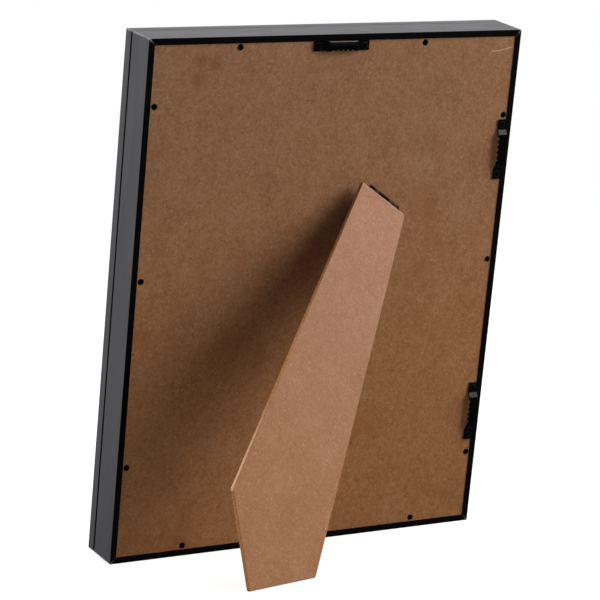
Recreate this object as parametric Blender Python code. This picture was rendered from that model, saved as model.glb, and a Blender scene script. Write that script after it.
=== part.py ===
# Children's art frame: a box for a stack of drawings, with a front door and an easel leg.
# All sizes are in metres. The finished frame stands on Z = 0, its front faces -Y, and it
# leans back on its leg. Its pieces are drawn in the frame's own axes: X to the right seen
# from the front, Y from the front to the back with the back rim at Y = 0, Z up the frame
# from its bottom edge. The empty named stance then leans the whole frame back.

from math import atan2, cos, pi, radians, sin, sqrt, tan

import bmesh
import bpy
from mathutils import Matrix, Vector

# The frame's outer size and the way its depth is shared out
OUTER_WIDTH = 0.304
OUTER_HEIGHT = 0.381
DOOR_THICKNESS = 0.0082
DOOR_SEAM = 0.0007
BOX_DEPTH = 0.0268

# Gaps between pieces that touch, and at the mitred corners
SEAT_GAP = 0.0003
MITRE_GAP = 0.0002

# Box rails
BOX_WALL = 0.012
RIM_WIDTH = 0.0045
RIM_EASE = 0.0005
FRONT_EASE = 0.0003
GROOVE_DEPTH = 0.003
GROOVE_WIDTH = 0.0013
# A low bead round the box's mouth leaves only a small gap behind the door
BEAD_WIDTH = 0.0007

# Back panel and its screws
PANEL_THICKNESS = 0.003
PANEL_RECESS = 0.0006
SCREW_INSET = 0.0077
SCREW_HEAD_RADIUS = 0.0021
SCREW_HEAD_RIM = 0.0003
SCREW_CONE = 0.0014
SCREW_SHANK_RADIUS = 0.0012
SCREW_LENGTH = 0.012
SCREW_SUNK = 0.0002
HOLE_OVER_HEAD = 0.0009
CROSS_LENGTH = 0.0024
CROSS_WIDTH = 0.0006
CROSS_DEPTH = 0.0009
# Each screw's side, the point it is measured from, and its distance from that point.
# A distance from the middle counts up the frame.
PANEL_SCREWS = (
    ("right", "top", 0.0475), ("right", "middle", 0.0187), ("right", "bottom", 0.0722),
    ("left", "top", 0.0633), ("left", "middle", 0.0173), ("left", "bottom", 0.0559),
    ("top", "right", 0.0712), ("top", "left", 0.0820),
    ("bottom", "right", 0.0577), ("bottom", "left", 0.0519),
)

# Sawtooth hangers and their nails
HANGER_LENGTH = 0.0448
HANGER_WIDTH = 0.0069
HANGER_SHEET = 0.0008
HANGER_RISE = 0.0031
HANGER_FOOT = 0.0075
HANGER_RAMP = 0.0036
HANGER_BEND = 0.0008
HANGER_RIM_GAP = 0.0002
HANGER_FROM_END = 0.089
NOTCH_PITCH = 0.0039
NOTCH_WIDTH = 0.0037
NOTCH_DEPTH = 0.0014
NOTCH_COUNT = 5
NAIL_FROM_END = 0.0037
NAIL_HEAD_RADIUS = 0.0017
NAIL_HEAD_HEIGHT = 0.0005
NAIL_HEAD_EASE = 0.0003
NAIL_SHANK_RADIUS = 0.0007
NAIL_LENGTH = 0.009

# Stance: how far the frame leans back, how far its leg opens, and how far the leg is
# turned from upright towards the corner that its tip folds to
LEAN = radians(12.53)
LEG_OPEN = radians(25.75)
LEG_TILT = radians(34.6)

# Easel leg. Its hinge line crosses the panel beside the middle line.
LEG_THICKNESS = 0.003
LEG_HINGE_X = -0.0435
LEG_HINGE_HEIGHT = 0.2612
LEG_TOP_HALF = 0.0232
LEG_TOP_BELOW_AXIS = 0.0022
LEG_REACH_SIDEWAYS = 0.0464
LEG_REACH_UPRIGHT = 0.0474
LEG_TOP_CUT = 0.0015
LEG_FOOT_CUT = 0.0009
LEG_TIP_CUT = 0.001
LEG_EASE = 0.00025

# Easel hinge: two leaves rolled round a pin, the leg's leaf with a stop bar behind it
EASEL_HINGE = {
    "length": 0.031, "knuckles": 5, "knuckle_radius": 0.0017, "bore_radius": 0.001,
    "sheet": 0.0008, "sheet_offset": 0.0009, "reach": 0.0165,
}
EASEL_HINGE_SHIFT = 0.0041
STOP_BAR_REACH = 0.0032
STOP_BAR_WIDTH = 0.0013
STOP_BAR_THICKNESS = 0.0008
PRONG_LENGTH = 0.0022
PRONG_WIDTH = 0.0012
PRONG_THICKNESS = 0.0008
PRONG_SPREAD = 0.011
PRONG_ROWS = (0.006, 0.013)

# Door rails, glazing, mat and the tabs that hold them
DOOR_RAIL_WIDTH = 0.020
DOOR_REBATE_WIDTH = 0.006
DOOR_LIP = 0.0026
DOOR_FRONT_EASE = 0.0008
GLAZING_THICKNESS = 0.0015
MAT_THICKNESS = 0.0014
MAT_WINDOW_WIDTH = 0.203
MAT_WINDOW_HEIGHT = 0.267
TAB_LENGTH = 0.014
TAB_IN_RAIL = 0.0045
TAB_WIDTH = 0.008
TAB_THICKNESS = 0.0005

# Door hinges on the long left side
DOOR_HINGE = {
    "length": 0.030, "knuckles": 3, "knuckle_radius": 0.0017, "bore_radius": 0.001,
    "sheet": 0.0008, "sheet_offset": 0.00035, "reach": 0.0106,
}
DOOR_HINGE_STANDOFF = 0.0006
DOOR_HINGE_INSET = 0.070
HINGE_SCREW_SPREAD = 0.0085
HINGE_SCREW_REACH = 0.0062
HINGE_SCREW_HEAD_RADIUS = 0.0017
HINGE_SCREW_SHANK_RADIUS = 0.0007
HINGE_SCREW_LENGTH = 0.005
HINGE_SCREW_HEAD_RIM = 0.0001
HINGE_CROSS_LENGTH = 0.0022
HINGE_CROSS_WIDTH = 0.0004
HINGE_CROSS_DEPTH = 0.00045
PIN_RADIUS = 0.0009
PIN_EASE = 0.0002
LEAF_START = 0.0005

# Door catch: magnets in the box, steel discs in the door
CATCH_INSET = 0.0078
CATCH_SPREAD = 0.13
MAGNET_RADIUS = 0.003
MAGNET_THICKNESS = 0.003
STRIKE_RADIUS = 0.004
STRIKE_THICKNESS = 0.001

# Elastic straps across the box's corners
STRAP_FROM_CORNER = 0.034
STRAP_WIDTH = 0.012
STRAP_THICKNESS = 0.001
STRAP_BEHIND_FRONT = 0.0015
STRAP_END_LENGTH = 0.008

# How finely round pieces are divided
ROUND_SEGMENTS = 18
SMALL_SEGMENTS = 16
EASE_STEPS = 3
SHARP_ANGLE = radians(35)

# Planes that several pieces share
PANEL_FACE = -PANEL_RECESS
LEDGE = PANEL_FACE - PANEL_THICKNESS - SEAT_GAP
BOX_FRONT = -BOX_DEPTH
DOOR_BACK = BOX_FRONT - DOOR_SEAM
DOOR_FRONT = DOOR_BACK - DOOR_THICKNESS
GLAZING_FRONT = DOOR_FRONT + DOOR_LIP + SEAT_GAP
MAT_FRONT = GLAZING_FRONT + GLAZING_THICKNESS + SEAT_GAP
TAB_FRONT = MAT_FRONT + MAT_THICKNESS + SEAT_GAP
EASEL_AXIS_RISE = EASEL_HINGE["sheet_offset"] + EASEL_HINGE["sheet"] + SEAT_GAP
SEAM_MIDDLE = BOX_FRONT - DOOR_SEAM / 2

MATERIALS = {
    "black_foil": ((0.022, 0.021, 0.023), 0.38, 0.0),
    "fibreboard": ((0.225, 0.115, 0.062), 0.85, 0.0),
    "leg_fibreboard": ((0.300, 0.155, 0.090), 0.85, 0.0),
    "black_steel": ((0.012, 0.012, 0.013), 0.35, 0.6),
    "zinc_steel": ((0.55, 0.56, 0.58), 0.35, 1.0),
    "magnet": ((0.60, 0.59, 0.57), 0.25, 1.0),
    "clear_sheet": ((0.90, 0.93, 0.93), 0.05, 0.0),
    "mat_card": ((0.85, 0.84, 0.80), 0.90, 0.0),
    "elastic": ((0.020, 0.020, 0.022), 0.95, 0.0),
}


# Building blocks

def make_materials():
    made = {}
    for name, (colour, roughness, metallic) in MATERIALS.items():
        material = bpy.data.materials.new(name)
        material.use_nodes = True
        shader = material.node_tree.nodes["Principled BSDF"]
        shader.inputs["Base Color"].default_value = (*colour, 1.0)
        shader.inputs["Roughness"].default_value = roughness
        shader.inputs["Metallic"].default_value = metallic
        material.diffuse_color = (*colour, 1.0)
        made[name] = material
    return made


def mesh_from(name, shape):
    bmesh.ops.recalc_face_normals(shape, faces=shape.faces)
    mesh = bpy.data.meshes.new(name)
    shape.to_mesh(mesh)
    shape.free()
    return mesh


def place(name, mesh, parent, matrix=Matrix.Identity(4), material=None, smooth=False):
    if material:
        mesh.materials.clear()
        mesh.materials.append(material)
    if smooth:
        mesh.shade_smooth()
        mesh.set_sharp_from_angle(angle=SHARP_ANGLE)
    piece = bpy.data.objects.new(name, mesh)
    bpy.context.collection.objects.link(piece)
    piece.parent = parent
    piece.matrix_local = matrix
    return piece


def make_helper(name, mesh, parent, matrix=Matrix.Identity(4)):
    helper = place(name, mesh, parent, matrix)
    helper.hide_render = True
    helper.display_type = "WIRE"
    return helper


def combine(piece, helper, operation):
    step = piece.modifiers.new(helper.name, "BOOLEAN")
    step.operation = operation
    step.solver = "EXACT"
    step.object = helper


def cut(piece, helper):
    """Cut a helper out of a piece, in one step with everything else that is cut out of it."""
    step = piece.modifiers.get("cuts")
    if not step:
        step = piece.modifiers.new("cuts", "BOOLEAN")
        step.operation = "DIFFERENCE"
        step.solver = "EXACT"
        step.operand_type = "COLLECTION"
        step.collection = bpy.data.collections.new(piece.name + "_cuts")
    step.collection.objects.link(helper)


def box_shape(low, high, shape=None):
    shape = shape or bmesh.new()
    middle = (Vector(low) + Vector(high)) / 2
    size = Vector(high) - Vector(low)
    matrix = Matrix.Translation(middle) @ Matrix.Diagonal((*size, 1.0))
    bmesh.ops.create_cube(shape, size=1.0, matrix=matrix)
    return shape


def prism_shape(outline, low, high, shape=None):
    """An outline in X and Y, drawn out along Z from low to high."""
    shape = shape or bmesh.new()
    near = [shape.verts.new((x, y, low)) for x, y in outline]
    far = [shape.verts.new((x, y, high)) for x, y in outline]
    shape.faces.new(near)
    shape.faces.new(list(reversed(far)))
    for i in range(len(outline)):
        j = (i + 1) % len(outline)
        shape.faces.new((near[i], far[i], far[j], near[j]))
    return shape


def turned_shape(profile, segments, shape=None):
    """A profile of radius and height, from the top's middle to the foot's, turned about Z."""
    shape = shape or bmesh.new()
    angles = [2 * pi * k / segments for k in range(segments)]
    rings = []
    for radius, height in profile:
        if radius == 0:
            rings.append([shape.verts.new((0, 0, height))])
        else:
            rings.append([shape.verts.new((radius * cos(a), radius * sin(a), height)) for a in angles])
    for upper, lower in zip(rings, rings[1:]):
        for k in range(segments):
            n = (k + 1) % segments
            if len(upper) == 1:
                shape.faces.new((upper[0], lower[k], lower[n]))
            elif len(lower) == 1:
                shape.faces.new((upper[k], lower[0], upper[n]))
            else:
                shape.faces.new((upper[k], lower[k], lower[n], upper[n]))
    return shape


def rod_shape(radius, low, high, segments=SMALL_SEGMENTS, shape=None):
    return turned_shape([(0, high), (radius, high), (radius, low), (0, low)], segments, shape)


def eased(outline, radii, steps=EASE_STEPS):
    """The outline with each corner rounded by its own radius, or left sharp at 0."""
    result = []
    for i, (corner, radius) in enumerate(zip(outline, radii)):
        corner = Vector(corner)
        if radius == 0:
            result.append(tuple(corner))
            continue
        before = (Vector(outline[i - 1]) - corner).normalized()
        after = (Vector(outline[(i + 1) % len(outline)]) - corner).normalized()
        half = before.angle(after) / 2
        start = corner + before * radius / tan(half)
        end = corner + after * radius / tan(half)
        centre = corner + (before + after).normalized() * radius / sin(half)
        for k in range(steps + 1):
            spoke = (start - centre).lerp(end - centre, k / steps).normalized()
            result.append(tuple(centre + spoke * radius))
    return result


def cut_corner(outline, index, size):
    """The outline with one corner cut off straight."""
    corner = Vector(outline[index])
    before = (Vector(outline[index - 1]) - corner).normalized()
    after = (Vector(outline[(index + 1) % len(outline)]) - corner).normalized()
    cut = [tuple(corner + before * size), tuple(corner + after * size)]
    return outline[:index] + cut + outline[index + 1:]


def frame_from(x_axis, y_axis, z_axis, origin):
    matrix = Matrix((x_axis, y_axis, z_axis)).transposed().to_4x4()
    matrix.translation = origin
    return matrix


# Places on the frame

SIDES = {
    "left": (0.0, OUTER_WIDTH / 2, OUTER_HEIGHT),
    "top": (pi / 2, OUTER_HEIGHT / 2, OUTER_WIDTH),
    "right": (pi, OUTER_WIDTH / 2, OUTER_HEIGHT),
    "bottom": (-pi / 2, OUTER_HEIGHT / 2, OUTER_WIDTH),
}
FACING_BACK = Matrix.Rotation(-pi / 2, 4, "X")
FACING_FRONT = Matrix.Rotation(pi / 2, 4, "X")


def side_frame(side):
    """Axes at the middle of a side's outer edge: X inwards, Y to the back, Z along the side."""
    turn, reach, _ = SIDES[side]
    middle = Matrix.Translation((0, 0, OUTER_HEIGHT / 2))
    return middle @ Matrix.Rotation(turn, 4, "Y") @ Matrix.Translation((-reach, 0, 0))


def along_side(side, start, distance):
    """A place along a side, in the axes of side_frame, from an end or from the middle."""
    half = SIDES[side][2] / 2
    forward = {"left": "top", "top": "right", "right": "bottom", "bottom": "left"}[side]
    if start == "middle":
        return distance if side in ("left", "top") else -distance
    return half - distance if start == forward else distance - half


def side_point(side, along, inset, depth):
    return side_frame(side) @ Vector((inset, depth, along))


def ground_height(point):
    """Height over the line that the frame's back bottom edge stands on, once it leans."""
    return point.z * cos(LEAN) - point.y * sin(LEAN)


def sideways_height(point):
    """The same for a frame that stands on its right side."""
    return (OUTER_WIDTH / 2 - point.x) * cos(LEAN) - point.y * sin(LEAN)


# Fasteners

def countersunk_profile(head, shank, rim, cone, length):
    return [(0, 0), (head, 0), (head, -rim), (shank, -rim - cone), (shank, -length), (0, -length)]


def hole_profile(profile, gap):
    """The outline of the hole that a turned fastener goes into, open at the head's end."""
    widened = [(radius + gap if radius else 0, height) for radius, height in profile]
    widened[0] = (0, HOLE_OVER_HEAD)
    widened[1] = (widened[1][0], HOLE_OVER_HEAD)
    widened[-2] = (widened[-2][0], profile[-2][1] - gap)
    widened[-1] = (0, profile[-1][1] - gap)
    return widened


def cross_outline(half_length, half_width):
    arm = [(half_width, half_width), (half_width, half_length), (-half_width, half_length)]
    turned = []
    for quarter in range(4):
        turn = Matrix.Rotation(quarter * pi / 2, 2)
        turned += [tuple(turn @ Vector(point)) for point in arm]
    return turned


def screw_mesh(name, profile, cross_length, cross_width, cross_depth):
    """A turned screw with a cross recess cut into its head."""
    blank = place(name + "_blank", mesh_from(name, turned_shape(profile, ROUND_SEGMENTS)), None)
    cross = prism_shape(cross_outline(cross_length / 2, cross_width / 2), -cross_depth, cross_depth)
    cutter = make_helper(name + "_cross", mesh_from(name + "_cross", cross), None)
    combine(blank, cutter, "DIFFERENCE")
    graph = bpy.context.evaluated_depsgraph_get()
    mesh = bpy.data.meshes.new_from_object(blank.evaluated_get(graph))
    for helper in (blank, cutter):
        bpy.data.objects.remove(helper)
    return mesh


# Storage box

def box_rail_outline(grooved):
    bead = DOOR_BACK + SEAT_GAP
    bead_start = BOX_WALL - BEAD_WIDTH
    mouth_to_rim = [(bead_start, BOX_FRONT), (bead_start, bead), (BOX_WALL, bead), (BOX_WALL, LEDGE),
                    (RIM_WIDTH, LEDGE), (RIM_WIDTH, 0)]
    if not grooved:
        outline = [(0, 0), (0, BOX_FRONT), *mouth_to_rim]
        return eased(outline, [RIM_EASE, FRONT_EASE, 0, 0, 0, 0, 0, 0])
    shoulder = BOX_FRONT + GROOVE_WIDTH
    outline = [(0, 0), (0, shoulder), (GROOVE_DEPTH, shoulder), (GROOVE_DEPTH, BOX_FRONT), *mouth_to_rim]
    return eased(outline, [RIM_EASE, FRONT_EASE, 0, 0, 0, 0, 0, 0, 0, 0])


def mitred_shape(outline, length):
    """A rail whose outline is distance inwards and depth, with both ends mitred."""
    shape = bmesh.new()
    back_off = MITRE_GAP / 2 * sqrt(2)
    ends = []
    for sign in (-1, 1):
        ends.append([shape.verts.new((inset, depth, sign * (length / 2 - inset - back_off)))
                     for inset, depth in outline])
    shape.faces.new(ends[0])
    shape.faces.new(list(reversed(ends[1])))
    for i in range(len(outline)):
        j = (i + 1) % len(outline)
        shape.faces.new((ends[0][i], ends[1][i], ends[1][j], ends[0][j]))
    return shape


def make_box_rails(parent, material):
    rails = {}
    for side in SIDES:
        outline = box_rail_outline(grooved=side == "right")
        mesh = mesh_from("box_rail_" + side, mitred_shape(outline, SIDES[side][2]))
        rails[side] = place("box_rail_" + side, mesh, parent, side_frame(side), material)
    return rails


def make_back_panel(parent, material):
    inset = RIM_WIDTH + SEAT_GAP
    low = (-OUTER_WIDTH / 2 + inset, PANEL_FACE - PANEL_THICKNESS, inset)
    high = (OUTER_WIDTH / 2 - inset, PANEL_FACE, OUTER_HEIGHT - inset)
    return place("back_panel", mesh_from("back_panel", box_shape(low, high)), parent, material=material)


def make_panel_screws(parent, material, panel, rails):
    profile = countersunk_profile(
        SCREW_HEAD_RADIUS, SCREW_SHANK_RADIUS, SCREW_HEAD_RIM, SCREW_CONE, SCREW_LENGTH)
    mesh = screw_mesh("panel_screw", profile, CROSS_LENGTH, CROSS_WIDTH, CROSS_DEPTH)
    hole = mesh_from("panel_screw_hole", turned_shape(hole_profile(profile, SEAT_GAP), SMALL_SEGMENTS))
    for number, (side, start, distance) in enumerate(PANEL_SCREWS, 1):
        along = along_side(side, start, distance)
        point = side_point(side, along, SCREW_INSET, PANEL_FACE - SCREW_SUNK)
        matrix = Matrix.Translation(point) @ FACING_BACK
        helper = make_helper(f"panel_screw_hole_{number}", hole, parent, matrix)
        cut(panel, helper)
        cut(rails[side], helper)
        place(f"panel_screw_{number}", mesh, parent, matrix, material, smooth=True)


# Hangers

def hanger_outline():
    """The bent strip seen from its side: along the hanger, and out from the panel."""
    half = HANGER_LENGTH / 2
    foot = half - HANGER_FOOT
    bridge = foot - HANGER_RAMP
    top, under = HANGER_RISE, HANGER_RISE - HANGER_SHEET
    slip = HANGER_SHEET * tan(atan2(under, HANGER_RAMP) / 2)
    outer = [(-half, 0), (-foot + slip, 0), (-bridge + slip, under), (bridge - slip, under),
             (foot - slip, 0), (half, 0)]
    inner = [(half, HANGER_SHEET), (foot, HANGER_SHEET), (bridge, top), (-bridge, top),
             (-foot, HANGER_SHEET), (-half, HANGER_SHEET)]
    tight, wide = HANGER_BEND, HANGER_BEND + HANGER_SHEET
    return eased(outer + inner, [0, wide, tight, tight, wide, 0, 0, tight, wide, wide, tight, 0])


def notch_cutters_shape():
    """Triangular wedges that cut the teeth into the hanger's lower edge."""
    shape = bmesh.new()
    below = -HANGER_WIDTH / 2 - SEAT_GAP
    for k in range(NOTCH_COUNT):
        middle = (k - (NOTCH_COUNT - 1) / 2) * NOTCH_PITCH
        wedge = [(middle - NOTCH_WIDTH / 2, below), (middle + NOTCH_WIDTH / 2, below),
                 (middle, NOTCH_DEPTH - HANGER_WIDTH / 2)]
        prism_shape(wedge, 0, HANGER_RISE * 2, shape)
    return shape


def make_hanger(name, parent, materials, side, along, panel, rail):
    """A sawtooth hanger against the rim of a side, its teeth towards the frame's middle."""
    strip = prism_shape(hanger_outline(), -HANGER_WIDTH / 2, HANGER_WIDTH / 2)
    bmesh.ops.transform(strip, matrix=Matrix.Rotation(pi / 2, 4, "X"), verts=strip.verts)
    inset = RIM_WIDTH + HANGER_RIM_GAP + HANGER_WIDTH / 2
    outwards = frame_from((0, 0, -1), (-1, 0, 0), (0, 1, 0), (inset, PANEL_FACE + SEAT_GAP, along))
    matrix = side_frame(side) @ outwards
    hanger = place(name, mesh_from(name, strip), parent, matrix, materials["black_steel"])
    notches = mesh_from(name + "_notches", notch_cutters_shape())
    cut(hanger, make_helper(name + "_notches", notches, parent, matrix))
    head_seat = HANGER_SHEET + SEAT_GAP
    nail = [(0, NAIL_HEAD_HEIGHT), (NAIL_HEAD_RADIUS - NAIL_HEAD_EASE, NAIL_HEAD_HEIGHT),
            (NAIL_HEAD_RADIUS, NAIL_HEAD_HEIGHT - NAIL_HEAD_EASE), (NAIL_HEAD_RADIUS, 0),
            (NAIL_SHANK_RADIUS, 0), (NAIL_SHANK_RADIUS, -NAIL_LENGTH), (0, -NAIL_LENGTH)]
    nail_mesh = mesh_from(name + "_nail", turned_shape(nail, SMALL_SEGMENTS))
    hole_mesh = mesh_from(name + "_nail_hole", rod_shape(
        NAIL_SHANK_RADIUS + SEAT_GAP, -NAIL_LENGTH - SEAT_GAP, NAIL_HEAD_HEIGHT))
    for number, sign in enumerate((-1, 1), 1):
        spot = Matrix.Translation((sign * (HANGER_LENGTH / 2 - NAIL_FROM_END), 0, head_seat))
        helper = make_helper(f"{name}_nail_hole_{number}", hole_mesh, parent, matrix @ spot)
        for drilled in (hanger, panel, rail):
            cut(drilled, helper)
        place(f"{name}_nail_{number}", nail_mesh, parent, matrix @ spot,
              materials["black_steel"], smooth=True)


def make_hangers(parent, materials, panel, rails):
    make_hanger("hanger_top", parent, materials, "top", 0, panel, rails["top"])
    for name, end in (("hanger_side_upper", "top"), ("hanger_side_lower", "bottom")):
        along = along_side("left", end, HANGER_FROM_END)
        make_hanger(name, parent, materials, "left", along, panel, rails["left"])


# Hinges

def knuckle_spans(hinge):
    count = hinge["knuckles"]
    each = (hinge["length"] - SEAT_GAP * (count - 1)) / count
    starts = [k * (each + SEAT_GAP) - hinge["length"] / 2 for k in range(count)]
    return [(start, start + each) for start in starts]


def comb_outline(half_length, edge, root, tooth, spans):
    """A plate from root to edge in X, with teeth that reach to tooth over some spans of Z."""
    outline = [(edge, -half_length), (edge, half_length), (root, half_length)]
    for low, high in reversed(spans):
        outline += [(root, high), (tooth, high), (tooth, low), (root, low)]
    outline.append((root, -half_length))
    return [point for i, point in enumerate(outline) if point != outline[i - 1]]


def upright_prism(outline, low, high):
    """An outline in X and Z, drawn out along Y from low to high."""
    shape = prism_shape(outline, low, high)
    swap = Matrix(((1, 0, 0, 0), (0, 0, 1, 0), (0, 1, 0, 0), (0, 0, 0, 1)))
    bmesh.ops.transform(shape, matrix=swap, verts=shape.verts)
    return shape


def make_leaf(name, hinge, own, plate, parent, matrix, material):
    """One hinge leaf: the axis along Z, the plate towards +X between two values of Y."""
    spans = knuckle_spans(hinge)[own::2]
    clear = hinge["knuckle_radius"] + SEAT_GAP
    outline = comb_outline(hinge["length"] / 2, hinge["reach"], clear, LEAF_START, spans)
    sheet = mesh_from(name, upright_prism(outline, *plate))
    leaf = place(name, sheet, parent, matrix, material, smooth=True)
    rings = bmesh.new()
    for low, high in spans:
        rod_shape(hinge["knuckle_radius"], low, high, ROUND_SEGMENTS, rings)
    knuckles = make_helper(name + "_knuckles", mesh_from(name + "_knuckles", rings), parent, matrix)
    combine(leaf, knuckles, "UNION")
    return leaf


def bore_leaf(leaf, hinge, parent, matrix):
    """Open the leaf's knuckles for the pin, once all that they carry is joined to them."""
    half = hinge["length"] / 2 + SEAT_GAP
    rod = mesh_from(leaf.name + "_bore", rod_shape(hinge["bore_radius"], -half, half, ROUND_SEGMENTS))
    cut(leaf, make_helper(leaf.name + "_bore", rod, parent, matrix))


def make_pin(name, hinge, parent, matrix, material):
    half = hinge["length"] / 2
    profile = [(0, half), (PIN_RADIUS - PIN_EASE, half), (PIN_RADIUS, half - PIN_EASE),
               (PIN_RADIUS, -half + PIN_EASE), (PIN_RADIUS - PIN_EASE, -half), (0, -half)]
    mesh = mesh_from(name, turned_shape(profile, SMALL_SEGMENTS))
    place(name, mesh, parent, matrix, material, smooth=True)


# Easel leg

def leg_axes(opening):
    """Hinge line, leg direction and outward direction of the leg, opened by an angle."""
    line = Vector((cos(LEG_TILT), 0, sin(LEG_TILT)))
    folded = Vector((sin(LEG_TILT), 0, -cos(LEG_TILT)))
    out = Vector((0, 1, 0))
    return line, folded * cos(opening) + out * sin(opening), out * cos(opening) - folded * sin(opening)


def leg_origin():
    return Vector((LEG_HINGE_X, PANEL_FACE + EASEL_AXIS_RISE, LEG_HINGE_HEIGHT))


def foot_line(height):
    """Where the leg's inner face meets the ground: a, b, c in a + b * across + c * down = 0."""
    line, down, out = leg_axes(LEG_OPEN)
    base = leg_origin() + out * EASEL_AXIS_RISE
    start = height(base) - RIM_EASE * sin(LEAN)
    return start, height(base + line) - height(base), height(base + down) - height(base)


def leg_outline():
    """The leg's corners across and down from the hinge line, clockwise from the top."""
    a, b, c = foot_line(ground_height)
    d, e, f = foot_line(sideways_height)
    span = b * f - c * e
    tip = ((c * d - a * f) / span, (a * e - b * d) / span)
    upright = (-LEG_REACH_UPRIGHT, (b * LEG_REACH_UPRIGHT - a) / c)
    sideways = (LEG_REACH_SIDEWAYS, -(e * LEG_REACH_SIDEWAYS + d) / f)
    top = LEG_TOP_BELOW_AXIS
    outline = [(LEG_TOP_HALF, top), sideways, tip, upright, (-LEG_TOP_HALF, top)]
    outline = cut_corner(outline, 4, LEG_TOP_CUT)
    outline = cut_corner(outline, 3, LEG_FOOT_CUT)
    return cut_corner(outline, 2, LEG_TIP_CUT)


def prong_boxes(surface, direction, grow):
    """The leaf's four prongs, or the pockets for them when grown by a gap."""
    shape = bmesh.new()
    tip = surface + direction * (PRONG_LENGTH + SEAT_GAP + grow)
    root = surface - direction * EASEL_HINGE["sheet"] / 2
    for along in (-PRONG_SPREAD, PRONG_SPREAD):
        for row in PRONG_ROWS:
            low = (row - PRONG_THICKNESS / 2 - grow, min(root, tip), along - PRONG_WIDTH / 2 - grow)
            high = (row + PRONG_THICKNESS / 2 + grow, max(root, tip), along + PRONG_WIDTH / 2 + grow)
            box_shape(low, high, shape)
    return shape


def make_easel(stance, axis, materials, panel):
    """The leg on its hinge. The axis empty has X along the hinge line and Y down the leg."""
    leg_mesh = mesh_from("easel_leg", prism_shape(
        leg_outline(), EASEL_AXIS_RISE, EASEL_AXIS_RISE + LEG_THICKNESS))
    leg = place("easel_leg", leg_mesh, axis, material=materials["leg_fibreboard"])
    ease = leg.modifiers.new("eased_edges", "BEVEL")
    ease.width = LEG_EASE
    ease.segments = 1
    ease.limit_method = "ANGLE"

    hinge = EASEL_HINGE
    inner, outer = hinge["sheet_offset"], hinge["sheet_offset"] + hinge["sheet"]
    line, folded, out = leg_axes(0)
    centre = leg_origin() - line * EASEL_HINGE_SHIFT
    on_panel = frame_from(folded, out, line, centre)
    on_leg = frame_from((0, 1, 0), (0, 0, 1), (1, 0, 0), (-EASEL_HINGE_SHIFT, 0, 0))

    frame_leaf = make_leaf("easel_hinge_frame_leaf", hinge, 0, (-outer, -inner), stance, on_panel,
                           materials["black_steel"])
    leg_leaf = make_leaf("easel_hinge_leg_leaf", hinge, 1, (inner, outer), axis, on_leg,
                         materials["black_steel"])

    spans = knuckle_spans(hinge)[1::2]
    bar = comb_outline(
        hinge["length"] / 2, -STOP_BAR_REACH, STOP_BAR_WIDTH - STOP_BAR_REACH, -LEAF_START, spans)
    half = STOP_BAR_THICKNESS / 2
    stop = make_helper("stop_bar", mesh_from("stop_bar", upright_prism(bar, -half, half)), axis, on_leg)
    combine(leg_leaf, stop, "UNION")

    for leaf, board, surface, direction, parent, matrix in (
            (frame_leaf, panel, -outer, -1, stance, on_panel), (leg_leaf, leg, outer, 1, axis, on_leg)):
        prongs = mesh_from(leaf.name + "_prongs", prong_boxes(surface, direction, 0.0))
        combine(leaf, make_helper(leaf.name + "_prongs", prongs, parent, matrix), "UNION")
        bore_leaf(leaf, hinge, parent, matrix)
        pockets = mesh_from(leaf.name + "_pockets", prong_boxes(surface, direction, SEAT_GAP))
        cut(board, make_helper(leaf.name + "_pockets", pockets, parent, matrix))
    make_pin("easel_hinge_pin", hinge, stance, on_panel, materials["black_steel"])


# Door

def door_rail_outline():
    lip = DOOR_FRONT + DOOR_LIP
    wall = DOOR_RAIL_WIDTH - DOOR_REBATE_WIDTH
    outline = [(0, DOOR_BACK), (0, DOOR_FRONT), (DOOR_RAIL_WIDTH, DOOR_FRONT), (DOOR_RAIL_WIDTH, lip),
               (wall, lip), (wall, DOOR_BACK)]
    return eased(outline, [FRONT_EASE, DOOR_FRONT_EASE, DOOR_FRONT_EASE, 0, 0, 0])


def make_door_rails(stance, axis, material):
    rails = {}
    into_axis = axis.matrix_local.inverted()
    for side in SIDES:
        mesh = mesh_from("door_rail_" + side, mitred_shape(door_rail_outline(), SIDES[side][2]))
        rails[side] = place("door_rail_" + side, mesh, axis, into_axis @ side_frame(side), material)
    return rails


def infill_half_sizes():
    inset = DOOR_RAIL_WIDTH - DOOR_REBATE_WIDTH + SEAT_GAP
    return OUTER_WIDTH / 2 - inset, OUTER_HEIGHT / 2 - inset


def make_glazing(axis, material):
    half_x, half_z = infill_half_sizes()
    middle = OUTER_HEIGHT / 2
    low = (-half_x, GLAZING_FRONT, middle - half_z)
    high = (half_x, GLAZING_FRONT + GLAZING_THICKNESS, middle + half_z)
    mesh = mesh_from("glazing", box_shape(low, high))
    place("glazing", mesh, axis, axis.matrix_local.inverted(), material)


def make_mat(axis, material):
    """Card with a window whose cut slopes, wider at the front face than at the back."""
    half_x, half_z = infill_half_sizes()
    window_x, window_z = MAT_WINDOW_WIDTH / 2, MAT_WINDOW_HEIGHT / 2
    middle = OUTER_HEIGHT / 2
    back = MAT_FRONT + MAT_THICKNESS
    loops = []
    shape = bmesh.new()
    for x, z, y in ((half_x, half_z, MAT_FRONT), (half_x, half_z, back), (window_x, window_z, back),
                    (window_x + MAT_THICKNESS, window_z + MAT_THICKNESS, MAT_FRONT)):
        corners = ((-x, -z), (x, -z), (x, z), (-x, z))
        loops.append([shape.verts.new((a, y, middle + b)) for a, b in corners])
    for k, loop in enumerate(loops):
        following = loops[(k + 1) % len(loops)]
        for i in range(4):
            j = (i + 1) % 4
            shape.faces.new((loop[i], following[i], following[j], loop[j]))
    place("mat_board", mesh_from("mat_board", shape), axis, axis.matrix_local.inverted(), material)


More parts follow.
